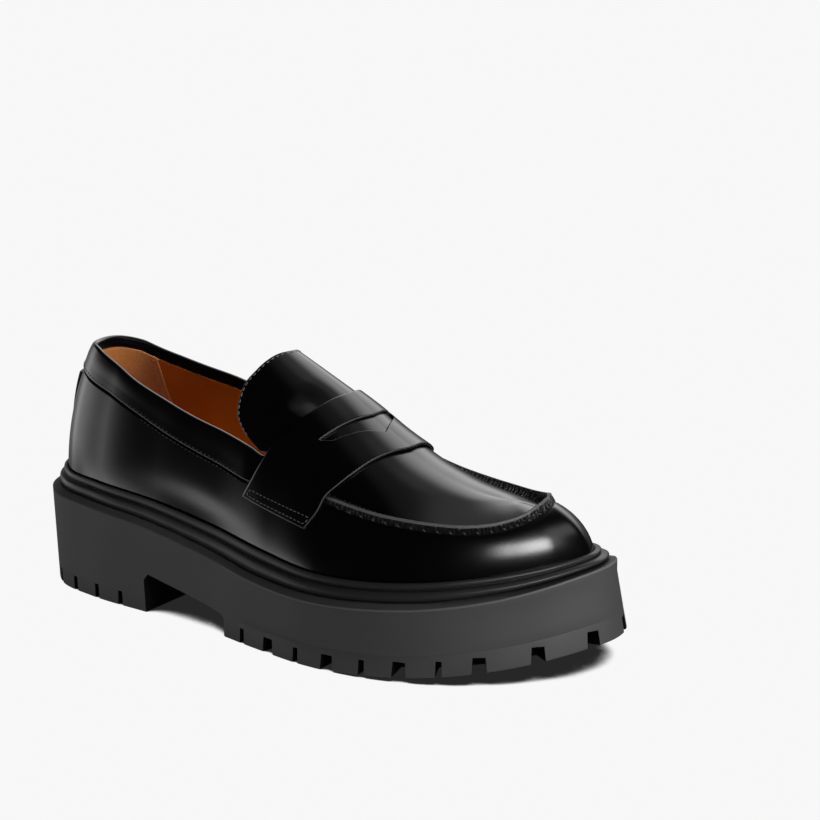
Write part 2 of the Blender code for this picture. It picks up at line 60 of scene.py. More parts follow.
BACKWARD = np.array([-1.0, 0.0, 0.0])
NARROW_NOTCH = 2.4
WIDE_NOTCH = 5.2

Array = np.ndarray
Piece = bpy.types.Object
Material = bpy.types.Material
Tree = bpy.types.NodeTree
Node = bpy.types.Node
Socket = bpy.types.NodeSocket
Place = Callable[[Array, Array], Array]


class Slot(Enum):
    """Material slots."""

    LEATHER = "polished_leather"
    RUBBER = "sole_rubber"
    LINING = "lining_leather"


class Side(Enum):
    """The two sides of the shoe."""

    OUTER = 0
    INNER = 1


class Plan(NamedTuple):
    """Sole plan at one station, and how far the upper stands in from it."""

    station: float
    lateral: float
    medial: float
    lateral_reach: float
    medial_reach: float


class Profile(NamedTuple):
    """Heights of the tread line, the side wall's top edge and the rand."""

    station: float
    floor: float
    top: float
    rand: float


class Wall(NamedTuple):
    """How far the sole's side wall stands in from the plan, low and high."""

    station: float
    foot_inset: float
    top_inset: float


class Rib(NamedTuple):
    """One rib of the last, from its foot station to a point on the ridge."""

    station: float
    ridge_x: float
    ridge_y: float
    ridge_z: float
    square: float


class Edge(NamedTuple):
    """Degrees up the rib of the rim and of the seam, on each side."""

    station: float
    lateral_rim: float
    medial_rim: float
    lateral_seam: float
    medial_seam: float


class Band(NamedTuple):
    """Rear and front edge of a band over the instep, outer half."""

    rear_station: float
    rear_deg: float
    front_station: float
    front_deg: float


class Lip(NamedTuple):
    """Half-length share from the slot's middle, and share across the strap."""

    along: float
    across: float


class Turn(NamedTuple):
    """Place on the rand's section: share out from the upper, and share up from the sole."""

    out: float
    up: float


class NotchRun(NamedTuple):
    """Run of lug notches on one side: first place, step, count, and the two widths in turn."""

    first: float
    step: float
    count: int
    even_width: float
    odd_width: float


class Crease(NamedTuple):
    """Soft trough or ridge of the leather: its lift, and the middle and reach of its fade."""

    lift: float
    station: float
    length: float
    deg: float
    height: float


PLAN = (
    Plan(4.5, -18.8, 17.6, 7.0, 7.0),
    Plan(17.0, -32.0, 30.0, 7.0, 7.0),
    Plan(40.0, -39.2, 35.6, 7.0, 6.5),
    Plan(75.0, -43.1, 34.6, 6.5, 6.0),
    Plan(110.0, -46.8, 30.7, 6.5, 6.0),
    Plan(138.0, -53.3, 33.0, 7.5, 6.5),
    Plan(168.0, -58.8, 40.8, 8.5, 7.5),
    Plan(200.0, -57.6, 44.8, 9.5, 8.5),
    Plan(228.0, -48.8, 44.6, 11.0, 9.5),
    Plan(252.0, -32.3, 39.5, 12.5, 13.0),
    Plan(268.0, -13.8, 28.5, 12.5, 13.5),
)
PROFILE = (
    Profile(0.0, 0.0, 41.8, 51.6),
    Profile(40.0, 0.0, 40.7, 50.9),
    Profile(75.0, 0.0, 37.8, 48.9),
    Profile(105.0, 0.0, 33.0, 44.8),
    Profile(135.0, 0.0, 28.2, 40.5),
    Profile(165.0, 0.0, 26.9, 37.4),
    Profile(195.0, 1.1, 28.3, 38.0),
    Profile(225.0, 3.6, 31.3, 40.8),
    Profile(250.0, 7.2, 35.6, 44.4),
    Profile(276.0, 13.2, 43.0, 50.5),
)
SOLE_WALL = (
    Wall(0.0, 2.0, 0.0),
    Wall(75.0, 1.2, 0.3),
    Wall(140.0, 0.3, 0.8),
    Wall(200.0, 0.0, 1.8),
    Wall(250.0, 0.0, 3.6),
    Wall(276.0, 0.0, 4.5),
)
RIBS = (
    Rib(0.0, 50.0, -1.8, 128.0, 2.1),
    Rib(20.0, 54.0, -2.0, 129.0, 1.8),
    Rib(45.0, 64.0, -2.5, 130.0, 1.65),
    Rib(80.0, 86.0, -3.4, 129.0, 1.65),
    Rib(115.0, 115.0, -4.1, 119.5, 1.85),
    Rib(130.0, 130.0, -4.2, 112.0, 2.0),
    Rib(145.0, 144.5, -4.3, 104.5, 2.0),
    Rib(160.0, 158.5, -4.4, 96.5, 2.0),
    Rib(175.0, 172.0, -4.9, 87.5, 2.0),
    Rib(192.0, 187.0, -5.0, 79.3, 2.05),
    Rib(210.0, 202.0, -5.1, 74.5, 2.1),
    Rib(230.0, 215.0, -4.1, 71.5, 2.1),
    Rib(255.0, 224.0, -2.5, 69.8, 2.1),
    Rib(276.0, 230.0, -1.2, 69.3, 2.1),
)
EDGES = (
    Edge(0.0, 46.5, 46.5, 38.0, 38.0),
    Edge(15.0, 46.2, 43.0, 36.3, 35.5),
    Edge(27.0, 44.0, 39.8, 34.2, 33.0),
    Edge(40.0, 41.0, 37.2, 32.0, 30.5),
    Edge(57.0, 37.0, 35.0, 28.8, 27.8),
    Edge(75.0, 34.2, 34.0, 25.6, 26.0),
    Edge(92.0, 33.0, 33.5, 24.2, 25.0),
    Edge(108.0, 33.4, 33.8, 24.0, 25.0),
    Edge(124.0, 34.5, 34.5, 24.6, 26.0),
    Edge(131.0, 35.2, 35.2, 26.0, 28.0),
    Edge(137.0, 38.0, 38.0, 27.8, 30.5),
    Edge(143.0, 45.0, 45.0, 29.8, 33.5),
    Edge(151.0, 57.5, 57.5, 32.4, 37.0),
    Edge(159.0, 72.0, 72.0, 34.8, 40.0),
    Edge(166.0, 85.0, 85.0, 36.6, 42.0),
    Edge(170.0, 90.0, 90.0, 37.3, 43.0),
    Edge(183.0, 90.0, 90.0, 39.4, 45.5),
    Edge(198.0, 90.0, 90.0, 41.6, 47.0),
    Edge(217.0, 90.0, 90.0, 43.2, 47.0),
    Edge(234.0, 90.0, 90.0, 44.2, 47.0),
    Edge(249.0, 90.0, 90.0, 46.8, 52.0),
    Edge(261.0, 90.0, 90.0, 52.0, 58.8),
    Edge(271.0, 90.0, 90.0, 59.8, 64.6),
    Edge(276.0, 90.0, 90.0, 64.8, 64.8),
)
STRAP_BAND = (
    Band(123.5, 20.0, 158.6, 21.0),
    Band(127.3, 26.0, 163.8, 29.0),
    Band(131.9, 34.5, 166.4, 36.5),
    Band(135.1, 40.5, 171.3, 45.0),
    Band(141.5, 51.5, 176.3, 55.0),
    Band(147.8, 64.0, 180.8, 66.0),
    Band(152.4, 78.0, 185.2, 78.0),
    Band(154.5, 90.0, 188.5, 90.0),
)
TONGUE_BAND = (
    Band(129.6, 36.4, 136.8, 39.1),
    Band(120.5, 38.0, 140.6, 43.5),
    Band(114.8, 40.8, 144.6, 49.5),
    Band(113.0, 46.0, 148.8, 56.5),
    Band(113.8, 54.0, 153.2, 64.5),
    Band(117.2, 63.0, 158.0, 73.0),
    Band(121.6, 77.0, 162.6, 81.5),
    Band(124.6, 90.0, 166.8, 90.0),
)
STRAP_SKEW = Band(2.0, 0.0, 6.0, 0.0)
TONGUE_SKEW = Band(5.0, 0.0, 0.0, 0.0)
SLOT_LOWER_LIP = (
    Lip(0.0, 0.670),
    Lip(0.1, 0.635),
    Lip(0.25, 0.585),
    Lip(0.5, 0.540),
    Lip(0.75, 0.505),
    Lip(0.92, 0.470),
    Lip(1.0, 0.400),
)
RAND_SECTION = (
    Turn(0.05, 0.97), Turn(0.16, 1.0), Turn(0.30, 0.985), Turn(0.41, 0.91), Turn(0.46, 0.80),
    Turn(0.43, 0.68), Turn(0.32, 0.61), Turn(0.34, 0.555), Turn(0.56, 0.565), Turn(0.80, 0.515),
    Turn(0.95, 0.40), Turn(1.0, 0.28), Turn(0.95, 0.15), Turn(0.76, 0.0),
)
NOTCH_RUNS = (
    NotchRun(0.470, 0.0495, 8, NARROW_NOTCH, WIDE_NOTCH),
    NotchRun(0.889, 0.074, 2, WIDE_NOTCH, WIDE_NOTCH),
    NotchRun(0.110, 0.045, 4, NARROW_NOTCH, NARROW_NOTCH),
)
FLEX_LIFTS = ((-0.35, 200.0), (0.25, 209.0))
SEAM_STEPS = (-5, -4, -3, -2.2, -1.6, -1.1, -0.75, -0.45, -0.2, 0.05, 0.35, 0.7, 1.1, 1.6, 2.2, 3, 4)
LIP_FLANK = ((-3.0, -0.5), (-2.7, 0.0), (-2.3, 0.55), (-1.9, 1.1), (-1.5, 1.55), (-1.15, 1.85))
LIP_BEAD = (
    (-0.98, 1.88), (-0.85, 2.25), (-0.6, 2.5), (-0.3, 2.58), (0.0, 2.48), (0.2, 2.2), (0.24, 1.9))
WAIST_TROUGH = Crease(-0.5, 96.0, 26.0, 9.0, 5.0)
HEEL_SWELL = Crease(0.3, 22.0, 16.0, 14.0, 8.0)


def column(rows: Sequence[NamedTuple], name: str) -> Array:
    """One named column of a table."""
    return np.array([getattr(row, name) for row in rows], float)


def smooth(knots: Array, values: Array, at: Array, period: float = 0.0) -> Array:
    """Cubic through the knots, with slopes taken from the neighbouring knots.

    Args:
        knots: Rising places of the values.
        values: Value at each knot.
        at: Places to read.
        period: Length of one turn where the curve closes on itself, else 0.

    Returns:
        The curve's values at the given places.
    """
    at = np.asarray(at, float)
    if period:
        at = np.mod(at, period)
        knots = np.concatenate([knots[-3:] - period, knots, knots[:3] + period])
        values = np.concatenate([values[-3:], values, values[:3]])
    step = np.diff(knots)
    chord = np.diff(values) / step
    slope = np.empty_like(values)
    slope[1:-1] = (chord[:-1] * step[1:] + chord[1:] * step[:-1]) / (step[:-1] + step[1:])
    slope[0] = chord[0]
    slope[-1] = chord[-1]
    at = np.clip(at, knots[0], knots[-1])
    low = np.clip(np.searchsorted(knots, at, side="right") - 1, 0, len(step) - 1)
    span = step[low]
    f = (at - knots[low]) / span
    near = (1 + 2 * f) * (1 - f) ** 2 * values[low] + f * (1 - f) ** 2 * span * slope[low]
    far = f * f * (3 - 2 * f) * values[low + 1] - f * f * (1 - f) * span * slope[low + 1]
    return near + far


def lookup(rows: Sequence[NamedTuple], name: str, station: Array) -> Array:
    """A named column of a table, read at any station."""
    return smooth(column(rows, "station"), column(rows, name), station)


def bell(distance: Array, width: float) -> Array:
    """Soft hump of height 1 that fades over a width."""
    return np.exp(-((np.asarray(distance) / width) ** 2))


def ramp(at: Array, start: float, end: float) -> Array:
    """Smooth step from 0 at start to 1 at end."""
    f = np.clip((np.asarray(at, float) - start) / (end - start), 0.0, 1.0)
    return f * f * (3.0 - 2.0 * f)


def unit(vectors: Array) -> Array:
    """Vectors brought to length 1."""
    return vectors / np.maximum(np.linalg.norm(vectors, axis=-1, keepdims=True), 1e-12)


def eased(share: Array, ease: float) -> Array:
    """Run from 0 to 1 that slows down towards both ends by a part of it."""
    return (1.0 - ease) * share + ease * 0.5 * (1.0 - np.cos(np.pi * share))


def run_of(line: Array) -> Array:
    """Length of a line up to each of its points."""
    return np.concatenate([[0.0], np.cumsum(np.linalg.norm(np.diff(line, axis=0), axis=1))])


def with_height(plan: Array, z: Array) -> Array:
    """Points over plan points, at heights."""
    return np.concatenate([plan, np.broadcast_to(z, plan.shape[:-1])[..., None]], -1)


@dataclass(frozen=True)
class Last:
    """The last: the surface that the upper is drawn over, and the sole's plan.

    Round-the-shoe value c is 0 at the heel, 1 at the toe tip along the outer side,
    and 2 at the heel again along the inner side. Degrees run up each rib from 0 on
    the sole's bed to 90 on the ridge.
    """

    sole_length: float = 276.0
    heel_back_y: float = 0.5
    toe_tip_y: float = 6.0
    heel_reach: float = 7.0
    toe_reach: float = 12.5
    clearance: float = 0.3
    shoulder_rise: float = 2.0
    side_samples: int = 40
    end_ease: float = 0.4
    flat_tread_rows: int = 5

    def knots(self) -> tuple[Array, Array]:
        """Round values and rows (x, y, reach) of the outline's knots."""
        x = column(PLAN, "station")
        outer = np.stack([x, column(PLAN, "lateral"), column(PLAN, "lateral_reach")], 1)
        inner = np.stack([x, column(PLAN, "medial"), column(PLAN, "medial_reach")], 1)
        heel = np.array([[0.0, self.heel_back_y, self.heel_reach]])
        tip = np.array([[self.sole_length, self.toe_tip_y, self.toe_reach]])
        there = np.concatenate([heel, outer, tip])
        back = np.concatenate([tip, inner[::-1], heel])
        places = []
        for start, path in ((0.0, there), (1.0, back)):
            run = np.concatenate([[0.0], np.cumsum(np.hypot(*np.diff(path[:, :2], axis=0).T))])
            places.append(start + run[:-1] / run[-1])
        return np.concatenate(places), np.concatenate([there[:-1], back[:-1]])

    def outline(self, c: Array) -> Array:
        """Plan point of the sole at c."""
        places, rows = KNOTS
        return np.stack([smooth(places, rows[:, k], c, 2.0) for k in (0, 1)], -1)

    def outward(self, c: Array) -> Array:
        """Plan normal of the outline, away from the shoe."""
        c = np.asarray(c, float)
        along = unit(self.outline(c + 1e-3) - self.outline(c - 1e-3))
        return np.stack([along[..., 1], -along[..., 0]], -1)

    def ring(self, c: Array, inset: Array) -> Array:
        """Outline moved in by an inset."""
        return self.outline(c) - self.outward(c) * np.asarray(inset)[..., None]

    def station(self, c: Array) -> Array:
        """Foot station shared by the outer and inner rib of one section."""
        c = np.mod(c, 2.0)
        return 0.5 * (self.outline(c)[..., 0] + self.outline(2.0 - c)[..., 0])

    def at_station(self, station: Array) -> Array:
        """Value c on the outer side of a foot station."""
        c = np.linspace(0.0, 1.0, 2001)
        return np.interp(station, self.station(c), c)

    def bed(self, x: Array) -> Array:
        """Height of the bed that the upper and insole stand on."""
        return lookup(PROFILE, "top", x) + self.shoulder_rise

    def floor(self, x: Array) -> Array:
        """Height of the tread line, with the toe spring."""
        x = np.asarray(x, float)
        return np.maximum(lookup(PROFILE, "floor", x), 0.0) * (x > PROFILE[self.flat_tread_rows].station)

    def point(self, c: Array, deg: Array) -> Array:
        """Point of the upper's outer face."""
        c, deg = np.broadcast_arrays(np.asarray(c, float), np.asarray(deg, float))
        places, rows = KNOTS
        foot = self.ring(c, smooth(places, rows[:, 2], c, 2.0))
        foot_z = self.bed(foot[..., 0]) + self.clearance
        at = self.station(c)
        ridge = np.stack([lookup(RIBS, "ridge_x", at), lookup(RIBS, "ridge_y", at)], -1)
        theta = np.radians(np.clip(deg, 0.0, 90.0))
        power = 2.0 / lookup(RIBS, "square", at)
        lean = 1.0 - np.maximum(np.cos(theta), 1e-9) ** power
        plan = foot + (ridge - foot) * lean[..., None]
        z = foot_z + (lookup(RIBS, "ridge_z", at) - foot_z) * np.sin(theta)
        return with_height(plan, z)

    def side_normal(self, c: Array, deg: Array) -> Array:
        """Outward normal from one side of the ridge alone."""
        deg = np.clip(deg, 0.0, 89.0)
        along = self.point(c + C_STEP, deg) - self.point(c - C_STEP, deg)
        rise = self.point(c, deg + 0.5) - self.point(c, np.maximum(deg - 0.5, 0.0))
        return unit(np.cross(along, rise))

    def normal(self, c: Array, deg: Array) -> Array:
        """Outward normal, shared by both sides where they meet on the ridge."""
        c, deg = np.broadcast_arrays(np.asarray(c, float), np.asarray(deg, float))
        own = self.side_normal(c, deg)
        share = 0.5 * ramp(deg, 86.0, 90.0)[..., None]
        return unit(own * (1.0 - share) + self.side_normal(2.0 - c, deg) * share)

    def lifted(self, c: Array, deg: Array, lift: Array) -> Array:
        """Last surface moved out along its normal."""
        c, deg, lift = np.broadcast_arrays(c, deg, lift)
        return self.point(c, deg) + self.normal(c, deg) * np.asarray(lift)[..., None]

    def edge(self, name: str, c: Array) -> Array:
        """Degrees of the rim or the seam at c, from its own side's column."""
        c = np.mod(c, 2.0)
        at = self.station(c)
        outer = lookup(EDGES, "lateral_" + name, at)
        inner = lookup(EDGES, "medial_" + name, at)
        return np.minimum(np.where(c <= 1.0, outer, inner), 90.0)

    def deg_at_height(self, c: Array, z: Array) -> Array:
        """Degrees up the rib at which the last reaches a height."""
        low = self.point(c, 0.0)[..., 2]
        high = self.point(c, 90.0)[..., 2]
        return np.degrees(np.arcsin(np.clip((z - low) / (high - low), 0.0, 1.0)))

    def deg_per_mm(self, c: Array, deg: Array) -> Array:
        """Degrees up the rib for one millimetre of leather."""
        deg = np.clip(deg, 1.0, 88.0)
        return 2.0 / np.linalg.norm(self.point(c, deg + 1.0) - self.point(c, deg - 1.0), axis=-1)

    def seam_line(self, c: Array) -> Array:
        """Points of the seam: under the collar band, then round the apron."""
        return self.point(c, self.edge("seam", c))

    def seam_frame(self, c: Array) -> tuple[Array, Array, Array]:
        """Frame along the apron seam.

        Args:
            c: Round-the-shoe values.

        Returns:
            Points, outward normals, and directions across the seam towards the apron.
        """
        behind, spot, ahead = (self.seam_line(at) for at in (c - C_STEP, c, c + C_STEP))
        up = self.normal(c, self.edge("seam", c))
        return spot, up, unit(np.cross(up, unit(ahead - behind)))

    def even_c(self, u: Array) -> Array:
        """Value c for an even run u from 0 to 1, closer together at heel and toe."""
        f = 1.0 - np.abs(1.0 - 2.0 * np.asarray(u, float))
        side = eased(f, self.end_ease)
        return np.where(np.asarray(u) <= 0.5, side, 2.0 - side)

    def round_trip(self, count: int) -> Array:
        """Values c of a count of sections once round the shoe, with the heel at both ends."""
        return self.even_c(np.linspace(0.0, 1.0, count + 1))

    def middle(self) -> Array:
        """Middle of the sole's box in plan, which is the origin of the frame."""
        side = eased(np.linspace(0.0, 1.0, self.side_samples + 1), self.end_ease)
        c = np.concatenate([side, (2.0 - side[::-1])[1:-1]])
        x = self.outline(c)[:, 0]
        walls = [self.ring(c, lookup(SOLE_WALL, name, x)) for name in ("foot_inset", "top_inset")]
        plan = np.concatenate(walls)
        return np.array([*(0.5 * (plan.min(0) + plan.max(0))), 0.0])


LAST = Last()
KNOTS = LAST.knots()
ORIGIN = LAST.middle()
WALL = 2.2
STRAP_THICK = 1.4
CLEARANCE = LAST.clearance


@dataclass(frozen=True)
class ApronDish:
    """How the apron lies down inside its raised seam, in millimetres."""

    depth: float = 3.0
    toe_depth: float = 1.2
    start: float = 176.0
    full: float = 218.0
    toe_start: float = 205.0
    toe_full: float = 262.0
    flat_share: float = 1.15
    flat_reach: float = 17.0
    flat_end_c: tuple = (0.9, 1.0)
    flat_end_deg: tuple = (72.0, 90.0)
    seam_step: tuple = (-0.3, 1.2)

    def drop(self, c: Array, deg: Array) -> Array:
        """Depth of the apron below the last, by how far forward it lies."""
        x = LAST.point(c, deg)[..., 0]
        toe = self.toe_depth * ramp(x, self.toe_start, self.toe_full)
        return self.depth * ramp(x, self.start, self.full) + toe

    def lift(self, c: Array, deg: Array) -> Array:
        """Lift of the leather, down to the apron's level inside the seam."""
        c, deg = np.broadcast_arrays(c, deg)
        inside = self.inside(c, deg)
        near = np.clip(1.0 - inside / self.flat_reach, 0.0, 1.0) ** 2
        outer = (1.0 - ramp(c, *self.flat_end_c)) * (1.0 - ramp(deg, *self.flat_end_deg))
        return -self.drop(c, deg) * (1.0 - self.flat_share * near * outer) * ramp(inside, *self.seam_step)

    def inside(self, c: Array, deg: Array) -> Array:
        """Distance from the seam, square to it, towards the apron."""
        seam = LAST.edge("seam", c)
        rib = unit(LAST.point(c, seam + 0.5) - LAST.point(c, seam - 0.5))
        square = np.abs((rib * LAST.seam_frame(c)[2]).sum(-1))
        return (deg - seam) / LAST.deg_per_mm(c, seam) * square


DISH = ApronDish()


def band_places(table: Sequence[Band], skew: Band, along: Array, share: Array) -> tuple[Array, Array]:
    """Places on a band over the instep.

    Args:
        table: Outer half of the band, from its lower end up to the ridge.
        skew: How far the inner half runs forward of the outer half.
        along: 0 to 1 from the outer end to the inner end.
        share: 0 to 1 from the rear edge to the front edge.

    Returns:
        Round values and degrees of the places.
    """
    count = len(table)
    at = np.asarray(along, float) * (2 * count - 2)
    value = {}
    for name in Band._fields:
        half = column(table, name)
        rest = half[-2::-1]
        if name.endswith("deg"):
            rest = 180.0 - rest
        rest = rest + getattr(skew, name) * np.minimum(np.arange(1, count) / 3.0, 1.0)
        value[name] = smooth(np.arange(2 * count - 1.0), np.concatenate([half, rest]), at)
    share = np.asarray(share, float)
    station = value["rear_station"] * (1 - share) + value["front_station"] * share
    deg = value["rear_deg"] * (1 - share) + value["front_deg"] * share
    over = deg > 90.0
    c = LAST.at_station(station)
    return np.where(over, 2.0 - c, c), np.where(over, 180.0 - deg, deg)


def only(piece: Piece) -> None:
    """Make a piece the only selected and active object."""
    bpy.ops.object.select_all(action="DESELECT")
    piece.select_set(True)
    bpy.context.view_layer.objects.active = piece


def primitive(add: Callable, **settings: object) -> Piece:
    """Add a primitive mesh with nothing else selected."""
    bpy.ops.object.select_all(action="DESELECT")
    add(**settings)
    return bpy.context.object


def set_points(piece: Piece, points: Array) -> None:
    """Write points in millimetres of the station frame to a piece's mesh."""
    local = (np.asarray(points, float) - ORIGIN) * MM
    piece.data.vertices.foreach_set("co", local.astype(np.float32).ravel())
    piece.data.update()


def grid_piece(name: str, u_count: int, v_count: int, place: Place) -> Piece:
    """Lay a grid primitive onto a surface.

    Args:
        name: Name of the piece.
        u_count: Faces along the grid.
        v_count: Faces across the grid.
        place: Gives the points in millimetres for arrays u and v from 0 to 1.

    Returns:
        The new piece.
    """
    add = bpy.ops.mesh.primitive_grid_add
    piece = primitive(add, x_subdivisions=u_count, y_subdivisions=v_count, size=1.0)
    piece.name = name
    piece.data.name = name
    flat = np.empty(len(piece.data.vertices) * 3, np.float32)
    piece.data.vertices.foreach_get("co", flat)
    uv = flat.reshape(-1, 3)[:, :2].astype(float) + 0.5
    u = np.round(uv[:, 0] * u_count) / u_count
    v = np.round(uv[:, 1] * v_count) / v_count
    set_points(piece, place(u, v))
    return piece


def ring_piece(name: str, rings: Sequence[Array]) -> Piece:
    """Lay a grid primitive onto rings of points, all of one length, in millimetres."""
    grid = np.array(rings)
    across, along = grid.shape[0] - 1, grid.shape[1] - 1

    def place(u: Array, v: Array) -> Array:
        """Points of the rings."""
        return grid[np.round(v * across).astype(int), np.round(u * along).astype(int)]

    return grid_piece(name, along, across, place)


def face_corners(piece: Piece, u_count: int, v_count: int) -> tuple[Array, Array]:
    """Lowest u and v index of each face of a fresh grid piece."""
    corners = np.empty(len(piece.data.polygons) * 4, np.int32)
    piece.data.polygons.foreach_get("vertices", corners)
    low = corners.reshape(-1, 4).min(1)
    return low % (u_count + 1), low // (u_count + 1)


def drop_faces(piece: Piece, gone: Array) -> None:
    """Delete the marked faces, and the points left loose."""
    only(piece)
    bpy.ops.object.mode_set(mode="EDIT")
    bpy.ops.mesh.select_mode(type="FACE")
    bpy.ops.mesh.select_all(action="DESELECT")
    bpy.ops.object.mode_set(mode="OBJECT")
    piece.data.polygons.foreach_set("select", gone.astype(bool))
    bpy.ops.object.mode_set(mode="EDIT")
    bpy.ops.mesh.delete(type="FACE")
    bpy.ops.object.mode_set(mode="OBJECT")


def close_seams(piece: Piece, distance: float = MERGE) -> None:
    """Merge the points that meet, clear collapsed faces and turn the rest outwards."""
    only(piece)
    bpy.ops.object.mode_set(mode="EDIT")
    bpy.ops.mesh.select_all(action="SELECT")
    bpy.ops.mesh.remove_doubles(threshold=distance)
    bpy.ops.mesh.dissolve_degenerate(threshold=distance)
    bpy.ops.mesh.select_all(action="SELECT")
    bpy.ops.mesh.normals_make_consistent(inside=False)
    bpy.ops.object.mode_set(mode="OBJECT")


def flip(piece: Piece) -> None:
    """Turn all the faces of a piece round."""
    only(piece)
    bpy.ops.object.mode_set(mode="EDIT")
    bpy.ops.mesh.select_all(action="SELECT")
    bpy.ops.mesh.flip_normals()
    bpy.ops.object.mode_set(mode="OBJECT")


def turn_out(piece: Piece, outward: Array) -> None:
    """Flip an open sheet whose faces point the wrong way.

    Args:
        piece: The sheet.
        outward: Mean direction that its faces have to point.
    """
    normals = np.empty(len(piece.data.polygons) * 3, np.float32)
    piece.data.polygons.foreach_get("normal", normals)
    if normals.reshape(-1, 3).mean(0) @ outward < 0.0:
        flip(piece)


def apply_modifier(piece: Piece, kind: str, **settings: object) -> None:
    """Add a modifier with its settings and apply it."""
    only(piece)
    modifier = piece.modifiers.new(kind.lower(), kind)
    for name, value in settings.items():
        setattr(modifier, name, value)
    bpy.ops.object.modifier_apply(modifier=modifier.name)


def thicken(piece: Piece, thickness: float, offset: float = -1.0, **settings: object) -> None:
    """Give a sheet a thickness in millimetres, to its back unless the offset says otherwise."""
    apply_modifier(piece, "SOLIDIFY", thickness=thickness * MM, offset=offset, use_even_offset=False,
                   **settings)


def round_edges(piece: Piece, width: float, segments: int = 2, **settings: object) -> None:
    """Round the cut edges of a sheet over a width in millimetres."""
    apply_modifier(piece, "BEVEL", width=width * MM, segments=segments, limit_method="ANGLE",
                   angle_limit=math.radians(50.0), use_clamp_overlap=False, **settings)


def shade(piece: Piece, angle: float = 180.0) -> None:
    """Shade a piece smooth below an angle in degrees."""
    only(piece)
    if angle >= 180.0:
        bpy.ops.object.shade_smooth()
    else:
        bpy.ops.object.shade_smooth_by_angle(angle=math.radians(angle))


def lay_materials(piece: Piece, materials: Sequence[Material], marks: Union[Array, int] = 0) -> None:
    """Give a piece its materials; before modifiers, so that they can tell its faces apart.

    Args:
        piece: The piece, with no materials yet.
        materials: Materials in the order of its material slots.
        marks: Number of the material of each face, or one number for all.
    """
    for material in materials:
        piece.data.materials.append(material)
    marks = np.broadcast_to(marks, len(piece.data.polygons)).astype(np.int32)
    piece.data.polygons.foreach_set("material_index", marks)


def dress(piece: Piece, materials: Sequence[Material], slot: Slot, *nodes: str) -> Piece:
    """Give a finished piece its materials and body, and hide the nodes that it stands for.

    Args:
        piece: The finished piece.
        materials: Materials in the order of its material slots.
        slot: Not used.
        nodes: Nodes that the piece replaces.

    Returns:
        The same piece.
    """
    marks = np.empty(len(piece.data.polygons), np.int32)
    piece.data.polygons.foreach_get("material_index", marks)
    piece.data.materials.clear()
    lay_materials(piece, materials, np.minimum(marks, len(materials) - 1))
    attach(piece, BODY)
    if nodes:
        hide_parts(*nodes)
    LOG.info("%s: %d faces", piece.name, len(piece.data.polygons))
    return piece


def linear(code: str) -> tuple[float, float, float, float]:
    """Linear colour of an sRGB hex code."""
    parts = [int(code[k:k + 2], 16) / 255.0 for k in (1, 3, 5)]
    light = [p / 12.92 if p <= 0.04045 else ((p + 0.055) / 1.055) ** 2.4 for p in parts]
    return (*light, 1.0)


def add_node(tree: Tree, kind: str, links: dict, **settings: object) -> Node:
    """Add a node.

    Args:
        tree: Node tree of the material.
        kind: Node type.
        links: Input name or number to an output socket or a plain value.
        settings: Properties of the node.

    Returns:
        The new node.
    """
    node = tree.nodes.new(kind)
    for name, value in settings.items():
        setattr(node, name, value)
    for key, value in links.items():
        if isinstance(value, Socket):
            tree.links.new(value, node.inputs[key])
        else:
            node.inputs[key].default_value = value
    return node


def per_metre(size_mm: float) -> float:
    """Texture scale whose pattern repeats about every size in millimetres."""
    return 1.0 / (size_mm * MM)


def new_material(name: str) -> tuple[Material, Tree, Node]:
    """Material with its node tree and its Principled shader."""
    material = bpy.data.materials.new(name)
    material.use_nodes = True
    tree = material.node_tree
    return material, tree, tree.nodes["Principled BSDF"]


def set_sockets(shader: Node, values: dict) -> None:
    """Set constant sockets of a shader by name."""
    for name, value in values.items():
        shader.inputs[name].default_value = value


def pattern(tree: Tree, kind: str, size_mm: float, links: dict, **settings: object) -> Node:
    """Texture fixed to the piece, whose pattern repeats about every size in millimetres."""
    place = add_node(tree, "ShaderNodeTexCoord", {}).outputs["Object"]
    return add_node(tree, kind, {"Vector": place, "Scale": per_metre(size_mm), **links}, **settings)


def noise(tree: Tree, size_mm: float, detail: float, rough: float = 0.5) -> Socket:
    """Cloudy noise of a size."""
    node = pattern(tree, "ShaderNodeTexNoise", size_mm, {"Detail": detail, "Roughness": rough})
    return node.outputs["Fac"]


def pebble(tree: Tree, size_mm: float) -> Socket:
    """Rounded cells of a size."""
    node = pattern(tree, "ShaderNodeTexVoronoi", size_mm, {}, feature="SMOOTH_F1")
    return node.outputs["Distance"]


def tint(tree: Tree, shader: Node, factor: Socket, low: str, high: str) -> None:
    """Colour a shader between two hex codes by a pattern."""
    mix = add_node(tree, "ShaderNodeMix", {
        "Factor": factor, 6: linear(low), 7: linear(high)}, data_type="RGBA")
    tree.links.new(mix.outputs[2], shader.inputs["Base Color"])


def roughen(tree: Tree, shader: Node, factor: Socket, middle: float, sway: float) -> None:
    """Vary a shader's roughness about a middle value by a pattern."""
    rough = add_node(tree, "ShaderNodeMapRange", {
        "Value": factor, "To Min": middle - sway, "To Max": middle + sway})
    tree.links.new(rough.outputs["Result"], shader.inputs["Roughness"])


def emboss(tree: Tree, shader: Node, *layers: tuple[Socket, float, float]) -> None:
    """Bump a shader by patterns, one over the other.

    Args:
        tree: Node tree of the material.
        shader: The shader.
        layers: Pattern, strength and depth in millimetres of each, from the lowest up.
    """
    under = {}
    for height, strength, depth_mm in layers:
        bump = add_node(tree, "ShaderNodeBump", {
            "Height": height, "Strength": strength, "Distance": depth_mm * MM, **under})
        under = {"Normal": bump.outputs["Normal"]}
    tree.links.new(under["Normal"], shader.inputs["Normal"])


